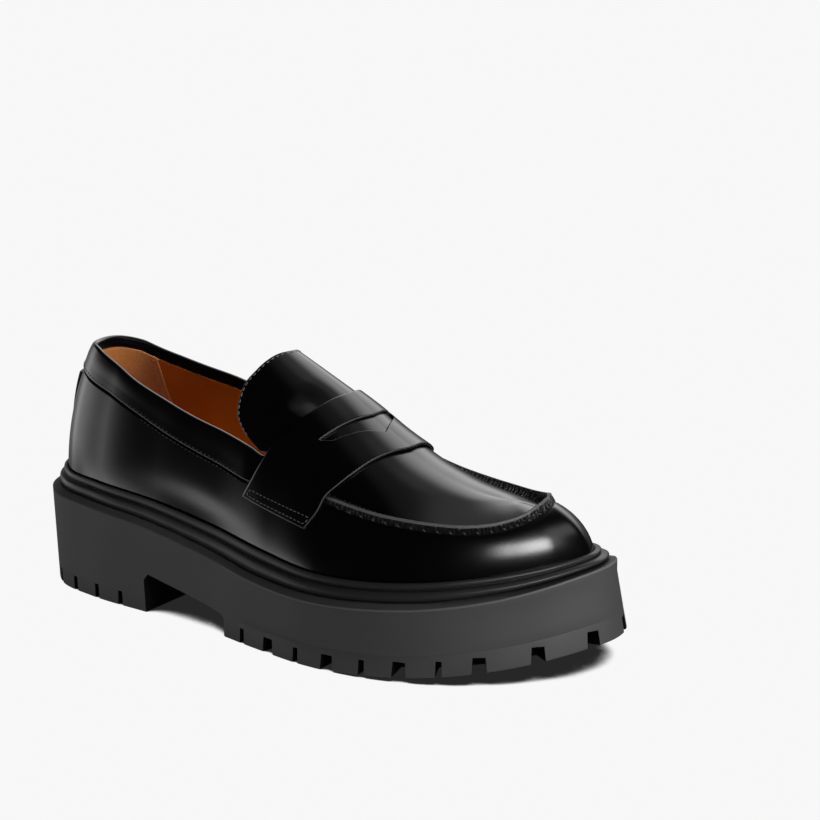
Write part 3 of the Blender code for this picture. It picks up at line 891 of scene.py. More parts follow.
@dataclass(frozen=True)
class PolishedLeather:
    """Full-grain calf, dyed through, glazed and brushed up to a shine."""

    name: str = "brushed_black_calf"
    colour: str = "#030303"
    worn: str = "#060606"
    sway_mm: float = 26.0
    pore_mm: float = 1.1
    roughness: float = 0.19
    coat: float = 0.2
    shine: float = 0.5

    def material(self) -> Material:
        """Near-black skin: broad soft sway in the shine, pores that only just break it."""
        material, tree, shader = new_material(self.name)
        sway = noise(tree, self.sway_mm, 1.5, 0.4)
        tint(tree, shader, sway, self.colour, self.worn)
        roughen(tree, shader, sway, self.roughness, 0.04)
        emboss(tree, shader, (sway, 0.08, 0.9), (pebble(tree, self.pore_mm), 0.06, 0.12))
        set_sockets(shader, {"IOR": 1.5, "Specular IOR Level": self.shine, "Coat Weight": self.coat,
                             "Coat Roughness": 0.15, "Coat IOR": 1.45})
        return material


@dataclass(frozen=True)
class CutEdge:
    """Cut edge of the hide, inked dark and rubbed: fibrous, dull and paler than the face."""

    name: str = "inked_leather_edge"
    colour: str = "#2c2b2a"
    fibre: str = "#403f3e"
    fibre_mm: float = 0.9

    def material(self) -> Material:
        """Dull dark grey with short paler fibres."""
        material, tree, shader = new_material(self.name)
        fibre = noise(tree, self.fibre_mm, 3.0, 0.6)
        tint(tree, shader, fibre, self.colour, self.fibre)
        emboss(tree, shader, (fibre, 0.3, 0.15))
        set_sockets(shader, {"Roughness": 0.55, "IOR": 1.45})
        return material


@dataclass(frozen=True)
class GatheredLeather:
    """Edge of the vamp, skived and drawn into tight folds by the seam."""

    colour: str = "#040404"
    rubbed: str = "#121212"
    fold_mm: float = 1.4

    def material(self) -> Material:
        """Rough black with a broken sparkle, dull beside the polished faces."""
        material, tree, shader = new_material("gathered_black_edge")
        fold = noise(tree, self.fold_mm, 3.0, 0.6)
        tint(tree, shader, fold, self.colour, self.rubbed)
        emboss(tree, shader, (fold, 0.9, 0.6))
        set_sockets(shader, {"Roughness": 0.34, "IOR": 1.5})
        return material


@dataclass(frozen=True)
class MouldedRubber:
    """Foamed rubber unit sole from a sand-blasted mould."""

    name: str = "moulded_grey_rubber"
    colour: str = "#353536"
    bloom: str = "#3d3d3e"
    roughness: float = 0.56
    shine: float = 0.32
    cloud_mm: float = 30.0
    grit_mm: float = 0.8

    def material(self) -> Material:
        """Matte dark grey with a fine grit and faint cloudy bloom."""
        material, tree, shader = new_material(self.name)
        grit = noise(tree, self.grit_mm, 2.0, 0.6)
        tint(tree, shader, noise(tree, self.cloud_mm, 3.0, 0.55), self.colour, self.bloom)
        roughen(tree, shader, grit, self.roughness, 0.12)
        emboss(tree, shader, (grit, 0.16, 0.12))
        set_sockets(shader, {"IOR": 1.5, "Specular IOR Level": self.shine})
        return material


@dataclass(frozen=True)
class LiningLeather:
    """Vegetable-tanned sheep lining, lightly finished."""

    colour: str = "#bd5a0d"
    pale: str = "#d27016"
    patch_mm: float = 22.0
    grain_mm: float = 1.2

    def material(self) -> Material:
        """Warm tan with cloudy depth, a small pebble and a low shine."""
        material, tree, shader = new_material("tan_lining_sheepskin")
        tint(tree, shader, noise(tree, self.patch_mm, 4.0, 0.55), self.colour, self.pale)
        emboss(tree, shader, (pebble(tree, self.grain_mm), 0.2, 0.2))
        set_sockets(shader, {"Roughness": 0.5, "IOR": 1.45})
        return material


@dataclass(frozen=True)
class SuedeGrip:
    """Heel grip of split hide with the nap out."""

    colour: str = "#b4621f"
    pale: str = "#e39a56"
    nap_mm: float = 1.4

    def material(self) -> Material:
        """Dry warm tan, mottled where the nap was brushed each way."""
        material, tree, shader = new_material("tan_split_suede")
        nap = noise(tree, self.nap_mm, 5.0, 0.7)
        tint(tree, shader, nap, self.colour, self.pale)
        emboss(tree, shader, (nap, 0.45, 0.3))
        set_sockets(shader, {"Roughness": 0.92, "IOR": 1.4, "Sheen Weight": 0.25, "Sheen Roughness": 0.5})
        return material


@dataclass(frozen=True)
class SewingThread:
    """Bonded polyester thread."""

    name: str = "black_bonded_thread"
    colour: str = "#232323"
    twist: str = "#3a3a3a"
    twist_mm: float = 0.7

    def material(self) -> Material:
        """Low sheen with a light twist, a little paler than the leather round it."""
        material, tree, shader = new_material(self.name)
        tint(tree, shader, noise(tree, self.twist_mm, 2.0), self.colour, self.twist)
        set_sockets(shader, {"Roughness": 0.45, "IOR": 1.5})
        return material


@dataclass
class Finishes:
    """The shoe's materials, each made once."""

    leather: Material
    binding: Material
    edge: Material
    pale_edge: Material
    gathers: Material
    rubber: Material
    rubbed_rubber: Material
    tread_rubber: Material
    rand_rubber: Material
    lining: Material
    suede: Material
    thread: Material
    pale_thread: Material
    tan_thread: Material

    @classmethod
    def make(cls) -> "Finishes":
        """Build every material."""
        return cls(
            leather=PolishedLeather().material(),
            binding=PolishedLeather("turned_black_binding", roughness=0.45, coat=0.0, shine=0.12).material(),
            edge=CutEdge().material(),
            pale_edge=CutEdge("rubbed_leather_edge", "#464543", "#5e5c5a").material(),
            gathers=GatheredLeather().material(),
            rubber=MouldedRubber().material(),
            # Paler copy of the sole rubber for the top corner rows: partly rubbed wear, partly a painted
            # highlight on the corner's rounding.
            rubbed_rubber=MouldedRubber("rubbed_rubber_corner", "#4c4c4d", "#5a5a5b").material(),
            # Near-black copy of the sole rubber: painted shade for the waist opening, the heel breast and the
            # notch walls.
            tread_rubber=MouldedRubber("unbuffed_tread_rubber", "#080808", "#0e0e0e", 0.8, 0.1).material(),
            # Darker, glossier copy of the sole rubber for the rand: its darkness is painted shade on the
            # upturned ribs.
            rand_rubber=MouldedRubber("moulded_dark_rand", "#1f1f20", "#262627", 0.42, 0.5).material(),
            lining=LiningLeather().material(),
            suede=SuedeGrip().material(),
            thread=SewingThread().material(),
            # Grey copy of the black thread: painted highlight that makes the stitches look lit.
            pale_thread=SewingThread("worn_black_thread", "#424242", "#626262").material(),
            tan_thread=SewingThread("tan_bonded_thread", "#7a4312", "#96602a").material(),
        )


@dataclass
class RubberSole:
    """Moulded sole unit and the ribbed rand seated on it."""

    finishes: Finishes
    around: int = 440
    shoulder_run: float = 3.0
    breast_station: float = 72.5
    breast_height: float = 17.5
    waist_end_station: float = 119.5
    waist_end_height: float = 9.3
    cutter_foot: float = -5.0
    cutter_half: float = 90.0
    notch_height: float = 6.5
    notch_depth: float = 14.0
    notch_overrun: float = 6.0
    notch_foot: float = -4.0
    notch_flare: float = 1.3
    tread_round: float = 0.5
    corner_round: float = 0.45
    corner_turn: float = 0.3
    corner_rise: float = 0.25
    tread_shares: tuple = (1.0, 0.66, 0.33, 0.08)
    wall_shares: tuple = (0.55, 0.8)
    bed_shares: tuple = (0.2, 0.6, 1.0)
    top_band: float = 5.0
    top_band_fade: tuple = (110.0, 160.0)
    mould_line_fade: tuple = (125.0, 140.0)
    mould_line_rise: float = 9.0
    mould_line_half: float = 0.35
    mould_line_depth: float = 0.14
    corner_faces: int = 2
    faces_above_corner: int = 4
    rand_lines: int = 49
    rand_inset: float = 0.3
    rand_foot_rise: float = 0.3
    rand_crest_drop: float = 0.5

    def build(self) -> None:
        """Build the sole unit and the rand."""
        self.outsole()
        self.rand()

    def outsole_rows(self, c: Array) -> list[Array]:
        """Rings of the sole from the middle of its tread to the middle of its bed.

        Args:
            c: Round-the-shoe values.

        Returns:
            One array of points for each ring.
        """
        x = LAST.outline(c)[:, 0]
        low = lookup(SOLE_WALL, "foot_inset", x)
        high = lookup(SOLE_WALL, "top_inset", x)
        top = lookup(PROFILE, "top", x)
        base = LAST.floor(x)
        band = self.top_band * ramp(x, *self.top_band_fade)
        front = ramp(x, *self.mould_line_fade)

        def ring(inset: Array, z: Array) -> Array:
            """Ring of points at an inset and a height."""
            return with_height(LAST.ring(c, inset), z)

        def toward_middle(row: Array, share: float, height: Callable[[Array], Array]) -> Array:
            """Ring moved a share of the way to the spine, at a height along it."""
            other = np.stack([np.interp(np.mod(2.0 - c, 2.0), c, row[:, k]) for k in (0, 1)], -1)
            plan = row[:, :2] * (1 - 0.5 * share) + other * 0.5 * share
            return with_height(plan, height(plan[:, 0]))

        rows = []
        r = self.tread_round
        edge = ring(low + r, base)
        edge[:, 2] = LAST.floor(edge[:, 0])
        for share in self.tread_shares:
            rows.append(toward_middle(edge, share, LAST.floor))
        rows.append(edge)
        rows.append(ring(low + self.corner_turn * r, base + self.corner_turn * r))
        rows.append(ring(low, base + r))
        wall = top - base - band

        def lean(rise: Array) -> Array:
            """Inset of the side wall at a rise above the tread."""
            return low + (high - low) * np.clip(rise / wall, 0.0, 1.0)

        for dip, off in ((0.0, -1.0), (self.mould_line_depth, 0.0), (0.0, 1.0)):
            rise = self.mould_line_rise + off * self.mould_line_half
            rows.append(ring(lean(rise) + dip * front, base + rise))
        for share in self.wall_shares:
            rows.append(ring(lean(wall * share), base + wall * share))
        rows.append(ring(high, top - band))
        r = self.corner_round
        rows.append(ring(high, top - np.maximum(band * 0.5, r)))
        rows.append(ring(high, top - r))
        rows.append(ring(high + self.corner_turn * r, top - self.corner_turn * r))
        rows.append(ring(high + r, top + self.corner_rise))
        shoulder = ring(high + self.shoulder_run, top)
        shoulder[:, 2] = LAST.bed(shoulder[:, 0])
        rows.append(shoulder)
        for share in self.bed_shares:
            rows.append(toward_middle(shoulder, share, LAST.bed))
        return rows

    def outsole(self) -> Piece:
        """Sole unit with heel, waist step, mould line and lug notches."""
        rows = self.outsole_rows(LAST.round_trip(self.around))
        sole = ring_piece("lugged_outsole", rows)
        row = face_corners(sole, self.around, len(rows) - 1)[1]
        above = len(rows) - 1 - self.faces_above_corner
        rubbers = [self.finishes.rubber, self.finishes.rubbed_rubber, self.finishes.tread_rubber]
        # The rows of the top corner take the paler rubber: rubbed wear with a painted highlight.
        lay_materials(sole, rubbers, (row >= above - self.corner_faces) & (row < above))
        close_seams(sole, SOLE_MERGE)
        # Faces cut by the waist block and the notch blocks take the near-black rubber, which paints the shade
        # in these recesses.
        for cutter in (self.waist_cutter(), self.notch_cutter()):
            lay_materials(cutter, rubbers, rubbers.index(self.finishes.tread_rubber))
            apply_modifier(sole, "BOOLEAN", operation="DIFFERENCE", solver="EXACT", object=cutter)
            bpy.data.objects.remove(cutter)
        shade(sole, 32.0)
        return dress(sole, rubbers, Slot.RUBBER, "outsole")

    def waist_cutter(self) -> Piece:
        """Block that opens the waist between the heel and the forefoot."""
        side = (
            (self.breast_station + 0.8, self.cutter_foot),
            (self.breast_station, self.breast_height - 3.0),
            (self.breast_station + 2.5, self.breast_height),
            (self.waist_end_station - 2.0, self.waist_end_height + 0.3),
            (self.waist_end_station, self.waist_end_height - 1.2),
            (self.waist_end_station + 0.6, self.cutter_foot),
        )
        block = primitive(bpy.ops.mesh.primitive_cylinder_add, vertices=len(side), end_fill_type="NGON")
        points = np.empty((2 * len(side), 3))
        for vertex in block.data.vertices:
            x, z = side[vertex.index // 2]
            points[vertex.index] = (x, math.copysign(self.cutter_half, vertex.co.z), z)
        set_points(block, points)
        close_seams(block)
        return block

    def notches(self) -> list[tuple[float, float]]:
        """Round value and width of each lug notch, on both sides."""
        rows = []
        for run in NOTCH_RUNS:
            widths = (run.even_width, run.odd_width)
            rows += [(run.first + run.step * k, widths[k % 2]) for k in range(run.count)]
        return rows + [(2.0 - c, width) for c, width in rows]

    def notch_cutter(self) -> Piece:
        """Tapered blocks round the tread edge, joined as one cutter."""
        blocks = []
        for c, width in self.notches():
            block = primitive(bpy.ops.mesh.primitive_cube_add, size=2.0)
            centre = LAST.outline(np.array(c))
            away = LAST.outward(np.array(c))
            along = np.array([-away[1], away[0]])
            base = float(LAST.floor(centre[0]))
            points = []
            for vertex in block.data.vertices:
                reach = self.notch_overrun if vertex.co.x > 0 else -self.notch_depth
                high = vertex.co.z > 0
                half = 0.5 * width * (1.0 if high else self.notch_flare)
                plan = centre + away * reach + along * half * vertex.co.y
                points.append((*plan, base + (self.notch_height if high else self.notch_foot)))
            set_points(block, np.array(points))
            blocks.append(block)
        bpy.ops.object.select_all(action="DESELECT")
        for block in blocks:
            block.select_set(True)
        bpy.context.view_layer.objects.active = blocks[0]
        bpy.ops.object.join()
        close_seams(blocks[0])
        return blocks[0]

    def rand(self) -> Piece:
        """Ribbed rand: a slim rib under the upper and a fuller rib below it."""
        c = LAST.round_trip(self.around)
        x = LAST.outline(c)[:, 0]
        edge = LAST.ring(c, lookup(SOLE_WALL, "top_inset", x) + self.shoulder_run + self.rand_inset)
        base = LAST.bed(edge[:, 0]) + CLEARANCE
        crest = lookup(PROFILE, "rand", LAST.point(c, 0.0)[:, 0])
        tall = crest - base
        low = LAST.lifted(c, LAST.deg_at_height(c, base + self.rand_foot_rise), CLEARANCE)
        high = LAST.lifted(c, LAST.deg_at_height(c, crest - self.rand_crest_drop), CLEARANCE)
        away = LAST.outward(c)
        run = ((edge - high[:, :2]) * away).sum(1)
        turns = np.arange(len(RAND_SECTION), dtype=float)
        at = np.linspace(0.0, turns[-1], self.rand_lines)
        out, up = (smooth(turns, column(RAND_SECTION, name), at) for name in Turn._fields)
        rows = [with_height(low[:, :2], base), high]
        for share, rise in zip(out, up):
            rows.append(with_height(high[:, :2] + away * (run * share)[:, None], base + tall * rise))
        rows.append(rows[0])
        rand = ring_piece("ribbed_rand", rows)
        close_seams(rand)
        shade(rand, 50.0)
        # The rand's darker rubber is painted shade on its ribs.
        return dress(rand, [self.finishes.rand_rubber], Slot.RUBBER, "welt")


def read_run(at: Array, run: Array, rows: Array) -> Array:
    """Points or directions of a line, read at lengths along it."""
    return np.stack([np.interp(at, run, rows[:, k]) for k in range(3)], -1)


@dataclass
class StitchRow:
    """A row of sewn stitches, one bean of thread copied along a line."""

    name: str
    material: Material
    slot: Slot
    pitch: float = 2.2
    length: float = 1.6
    width: float = 0.5
    height: float = 0.42
    slant: float = 0.0
    look: float = 0.2
    taper: float = 0.25

    def bean(self) -> tuple[Array, list]:
        """Points and faces of one stitch, lying along X."""
        ball = primitive(bpy.ops.mesh.primitive_uv_sphere_add, segments=8, ring_count=6, radius=1.0)
        bpy.ops.object.mode_set(mode="EDIT")
        bpy.ops.mesh.select_all(action="SELECT")
        bpy.ops.transform.resize(value=(0.5 * self.length, 0.5 * self.width, 0.5 * self.height))
        bpy.ops.object.mode_set(mode="OBJECT")
        points = np.array([v.co for v in ball.data.vertices], float)
        points[:, 1] *= 1.0 - self.taper * (points[:, 0] / (0.5 * self.length)) ** 2
        faces = [tuple(p.vertices) for p in ball.data.polygons]
        bpy.data.objects.remove(ball)
        return points, faces

    def sew(self, runs: Sequence[tuple[Array, Array]], lift: float = 0.1) -> Piece:
        """Copy the stitch along lines.

        Args:
            runs: Pairs of points and outward normals along each line, in millimetres.
            lift: How far the thread's middle stands off the line.

        Returns:
            All the stitches as one piece.
        """
        bean, bean_faces = self.bean()
        points = []
        faces = []
        turn = math.radians(self.slant)
        for line, normals in runs:
            run = run_of(line)
            count = max(2, int(run[-1] / self.pitch))
            at = (np.arange(count) + 0.5) * run[-1] / count
            spot = read_run(at, run, line)
            up = unit(read_run(at, run, normals))
            along = unit(read_run(at + self.look, run, line) - read_run(at - self.look, run, line))
            along = unit(along - up * (along * up).sum(1)[:, None])
            side = np.cross(up, along)
            lead = along * math.cos(turn) + side * math.sin(turn)
            side = np.cross(up, lead)
            for k in range(count):
                base = len(points) * len(bean)
                place = spot[k] + up[k] * lift
                points.append(place + bean[:, :1] * lead[k] + bean[:, 1:2] * side[k] + bean[:, 2:] * up[k])
                faces += [tuple(base + i for i in face) for face in bean_faces]
        mesh = bpy.data.meshes.new(self.name)
        local = (np.concatenate(points) - ORIGIN) * MM
        mesh.from_pydata(local.tolist(), [], faces)
        piece = bpy.data.objects.new(self.name, mesh)
        bpy.context.scene.collection.objects.link(piece)
        shade(piece)
        return dress(piece, [self.material], self.slot)


def surface_run(c: Array, deg: Array, lift: Array) -> tuple[Array, Array]:
    """Points and normals of a line on the last, for a row of stitches."""
    c = np.asarray(c, float)
    deg = np.broadcast_to(np.asarray(deg, float), c.shape)
    return LAST.lifted(c, deg, lift), LAST.normal(c, deg)


@dataclass
class LeatherUpper:
    """Hollow leather wall with its collar band, rolled topline and apron seam."""

    finishes: Finishes
    around: int = 400
    collar_step: float = 0.55
    band_end: float = 126.0
    band_fade: float = 4.0
    turned_in: float = 3.8
    turned_swell: float = 0.75
    binding_row: int = 7
    groove_depth: float = 0.45
    lateral_lip_start: float = 165.0
    medial_lip_start: float = 175.5
    lip_fade: float = 6.0
    pucker_pitch: float = 5.4
    fold_pitch: float = 1.8
    flex_width: float = 5.0
    flex_slant: float = 0.25
    flex_deg: float = 30.0
    flex_foot_fade: tuple = (6.0, 18.0)
    flex_head_fade: tuple = (30.0, 38.0)
    step_run: tuple = (-0.1, 0.7)
    groove_at: tuple = (-0.2, 0.32)
    tuck_depth: float = 0.3
    tuck_at: tuple = (-3.2, 0.9)
    band_swell: float = 0.12
    quarter_rows: int = 25
    quarter_stop: float = 6.0
    collar_rows: int = 19
    collar_start: float = 5.0
    roll_rows: int = 11
    turned_rows: int = 9
    inner_rows: int = 14
    lip_segments: int = 900
    lip_inner_rows: int = 8
    lip_inner_start: float = 0.28
    lip_inner_run: float = 1.3
    lip_sink: float = 0.4
    lip_least: float = 0.1
    gather_depth: float = 0.4
    fold_depth: float = 0.28
    tip_cut: float = 0.25
    tip_cut_at: tuple = (1.02, 0.07)
    tip_lean: tuple = (-0.35, 0.0, 0.6)
    tip_lean_at: tuple = (1.03, 0.1)
    sewn_to: float = 119.0
    second_row_from: float = 62.0
    sewn_above: float = 1.6
    sewn_below: float = 1.0

    def build(self) -> None:
        """Build the wall, the apron lip and their stitches."""
        self.wall()
        self.apron_lip()
        self.collar_stitches()
        self.lip_stitches()

    def lip_share(self, c: Array) -> Array:
        """How far the apron lip stands up at c, from 0 under the strap to 1."""
        at = LAST.station(c)
        start = np.where(np.mod(c, 2.0) <= 1.0, self.lateral_lip_start, self.medial_lip_start)
        return ramp(at - start, 0.0, self.lip_fade)

    def band_share(self, c: Array) -> Array:
        """How far the collar band stands out at c."""
        return 1.0 - ramp(LAST.station(c), self.band_end - self.band_fade, self.band_end + self.band_fade)

    def softness(self, c: Array, deg: Array) -> Array:
        """Soft troughs and ridges of the leather, in millimetres of lift.

        Args:
            c: Round-the-shoe values.
            deg: Degrees up the rib.

        Returns:
            Lift of the outer face.
        """
        at = LAST.station(c)
        slant = self.flex_slant * (deg - self.flex_deg)
        reach = ramp(deg, *self.flex_foot_fade) * (1.0 - ramp(deg, *self.flex_head_fade))
        flex = sum(lift * bell(at - spot + slant, self.flex_width) * reach for lift, spot in FLEX_LIFTS)
        waist, heel = (
            dip.lift * bell(at - dip.station, dip.length) * bell(deg - dip.deg, dip.height)
            for dip in (WAIST_TROUGH, HEEL_SWELL))
        return flex + heel + np.where(np.mod(c, 2.0) <= 1.0, waist, 0.0)

    def wall_grid(self) -> tuple[Array, int, int]:
        """Grid of the wall's points.

        Returns:
            Points by row and section, and the first and last row of the rolled rim.
        """
        c = LAST.round_trip(self.around)
        rim = LAST.edge("rim", c)
        seam = LAST.edge("seam", c)
        per_mm = LAST.deg_per_mm(c, seam)
        lip = self.lip_share(c)
        band = self.band_share(c)
        rows = []
        for share in np.linspace(0.0, 1.0, self.quarter_rows)[:-1]:
            deg = (seam - self.quarter_stop * per_mm) * share
            rows.append(LAST.lifted(c, deg, self.softness(c, deg)))
        for t in SEAM_STEPS:
            deg = np.minimum(seam + t * per_mm, rim)
            step = self.collar_step * ramp(t, *self.step_run) * band
            groove = -self.groove_depth * bell(t - self.groove_at[0], self.groove_at[1]) * band
            under = -self.tuck_depth * bell(t - self.tuck_at[0], self.tuck_at[1]) * lip
            soft = self.softness(c, deg) + DISH.lift(c, deg)
            rows.append(LAST.lifted(c, deg, step + groove + under + soft))
        high = np.minimum(seam + self.collar_start * per_mm, rim)
        for share in np.linspace(0.0, 1.0, self.collar_rows):
            deg = high + (rim - high) * share
            swell = self.band_swell * np.sin(np.pi * share) * band
            rows.append(LAST.lifted(c, deg, self.collar_step * band + swell + DISH.lift(c, deg)))
        roll_start = len(rows) - 1
        shut = rim > SHUT_DEG
        up = LAST.normal(c, rim)
        rise = unit(LAST.point(c, rim) - LAST.point(c, rim - 1.0))
        rise = unit(rise - up * (rise * up).sum(1)[:, None])
        outer_lift = self.collar_step * band
        middle = 0.5 * (outer_lift - WALL)
        half = 0.5 * (outer_lift + WALL)
        tall = np.where(shut, 0.0, half * (0.75 + 0.25 * band))
        for turn in np.linspace(0.0, np.pi, self.roll_rows)[1:-1]:
            lift = middle + half * np.cos(turn) + DISH.lift(c, rim)
            rows.append(LAST.point(c, rim) + up * lift[:, None] + rise * (tall * np.sin(turn))[:, None])
        roll_end = len(rows)
        turned = np.minimum(self.turned_in * LAST.deg_per_mm(c, rim), 0.5 * rim)
        for share in np.linspace(0.0, 1.0, self.turned_rows)[:-1]:
            deg = rim - turned * share
            swell = -self.turned_swell * np.sin(np.pi * share) * band
            rows.append(LAST.lifted(c, deg, DISH.lift(c, deg) - WALL + swell))
        for share in np.linspace(0.0, 1.0, self.inner_rows):
            deg = (rim - turned) * (1 - share)
            rows.append(LAST.lifted(c, deg, DISH.lift(c, deg) - WALL))
        rows[-1][:, 2] = rows[0][:, 2]
        rows.append(rows[0])
        return np.array(rows), roll_start, roll_end

    def wall(self) -> Piece:
        """The wall as one hollow closed skin, open underneath and at the collar."""
        grid, roll_start, roll_end = self.wall_grid()
        wall = ring_piece("leather_upper", grid)
        u_low, v_low = face_corners(wall, self.around, len(grid) - 1)
        shut = LAST.edge("rim", LAST.round_trip(self.around)) > SHUT_DEG
        both = shut[u_low] & shut[u_low + 1]
        lay_materials(wall, [self.finishes.leather, self.finishes.binding],
                      v_low >= roll_start + self.binding_row)
        drop_faces(wall, both & (v_low >= roll_start) & (v_low < roll_end))
        close_seams(wall)
        shade(wall, 60.0)
        return dress(wall, [self.finishes.leather, self.finishes.binding], Slot.LEATHER, "upper")

    def lip_path(self, count: int) -> Array:
        """Values c along the apron seam, evenly spaced, from outer to inner strap edge."""
        start = LAST.at_station(self.lateral_lip_start)
        end = 2.0 - LAST.at_station(self.medial_lip_start)
        c = np.linspace(start, end, self.lip_segments)
        run = run_of(LAST.seam_line(c))
        return np.interp(np.linspace(0.0, run[-1], count), run, c)

    def lip_length(self) -> float:
        """Length of the apron seam in millimetres."""
        return float(run_of(LAST.seam_line(self.lip_path(400)))[-1])

    def lip_section(self, c: Array) -> tuple[list, int, int]:
        """Section of the lip from its outer foot over the bead to the apron.

        Args:
            c: Values along the seam.

        Returns:
            Offsets and heights of each line in millimetres, and the first and last line of the bead.
        """
        lines = [(np.full_like(c, t), np.full_like(c, h)) for t, h in LIP_FLANK + LIP_BEAD]
        head = LIP_BEAD[-1][1]
        foot = -DISH.drop(c, LAST.edge("seam", c)) - self.lip_sink
        for s in np.linspace(0.12, 1.0, self.lip_inner_rows):
            out = self.lip_inner_start + self.lip_inner_run * s ** 1.5
            lines.append((np.full_like(c, out), head * (1 - s) + foot * s))
        lines.append((np.full_like(c, -0.7), 0.5 * foot - 1.0))
        return lines, len(LIP_FLANK), len(LIP_FLANK) + len(LIP_BEAD) - 1

    def apron_lip(self) -> Piece:
        """Raised seam round the apron: gathered flanks under a smooth bead."""
        along = self.lip_segments
        c = self.lip_path(along + 1)
        tip = self.tip_cut * bell(c - self.tip_cut_at[0], self.tip_cut_at[1])
        share = (self.lip_least + (1.0 - self.lip_least) * self.lip_share(c)) * (1.0 - tip)
        run = np.linspace(0.0, self.lip_length(), along + 1)
        gather = 0.5 - 0.5 * np.cos(2 * np.pi * run / self.pucker_pitch)
        fold = np.sin(2 * np.pi * run / self.fold_pitch + 1.4 * np.sin(run * 0.9) + 0.8 * np.sin(run * 0.37))
        lines, bead_first, bead_last = self.lip_section(c)
        spot, up, side = LAST.seam_frame(c)
        lean = bell(c - self.tip_lean_at[0], self.tip_lean_at[1])
        up = unit(up + lean[:, None] * np.array(self.tip_lean))
        rows = []
        for number, (t, height) in enumerate(lines):
            inner = bead_last < number < len(lines) - 1
            gathers = self.gather_depth * gather + self.fold_depth * fold
            tuck = gathers * bell(t + 2.0, 0.9) * (number < bead_first)
            crease = self.fold_depth * fold * ramp(t, 0.25, 0.6) * inner
            spread = t - self.gather_depth * gather * bell(t + 2.5, 0.8) + crease
            rise = np.where(height > 0.0, height * share, height) - tuck * share
            rows.append(spot + side * spread[:, None] + up * rise[:, None])
        rows.append(rows[0])
        grid = np.array(rows)
        for end in (0, -1):
            grid[:, end] = grid[:, end].mean(0)
        lip = ring_piece("apron_lip", grid)
        row = face_corners(lip, along, len(grid) - 1)[1]
        leathers = [self.finishes.pale_edge, self.finishes.gathers]
        lay_materials(lip, leathers, (row < bead_first) | (row >= bead_last))
        close_seams(lip)
        shade(lip, 70.0)
        return dress(lip, leathers, Slot.LEATHER)

    def lip_stitches(self) -> Piece:
        """Slanted stitches that gather the vamp under the lip."""
        spot, up, side = LAST.seam_frame(self.lip_path(500)[14:-14])
        row = StitchRow("apron_stitches", self.finishes.thread, Slot.LEATHER, pitch=self.pucker_pitch,
                        length=1.9, width=0.65, height=0.5, slant=-38.0)
        return row.sew([(spot - side * 2.5 + up * 0.3, unit(up - 0.7 * side))], 0.1)

    def collar_stitches(self) -> Piece:
        """Fine rows above and below the groove under the collar band, on both sides."""
        runs = []
        for side in Side:
            c = np.linspace(0.0, LAST.at_station(self.sewn_to), 260)
            if side is Side.INNER:
                c = 2.0 - c
            seam = LAST.edge("seam", c)
            per_mm = LAST.deg_per_mm(c, seam)
            runs.append(surface_run(c, seam + self.sewn_above * per_mm, self.collar_step))
            ahead = LAST.station(c) > self.second_row_from
            runs.append(surface_run(c[ahead], (seam - self.sewn_below * per_mm)[ahead], 0.0))
        row = StitchRow("collar_stitches", self.finishes.thread, Slot.LEATHER, pitch=2.3, length=1.6,
                        width=0.42, height=0.34)
        return row.sew(runs, 0.06)


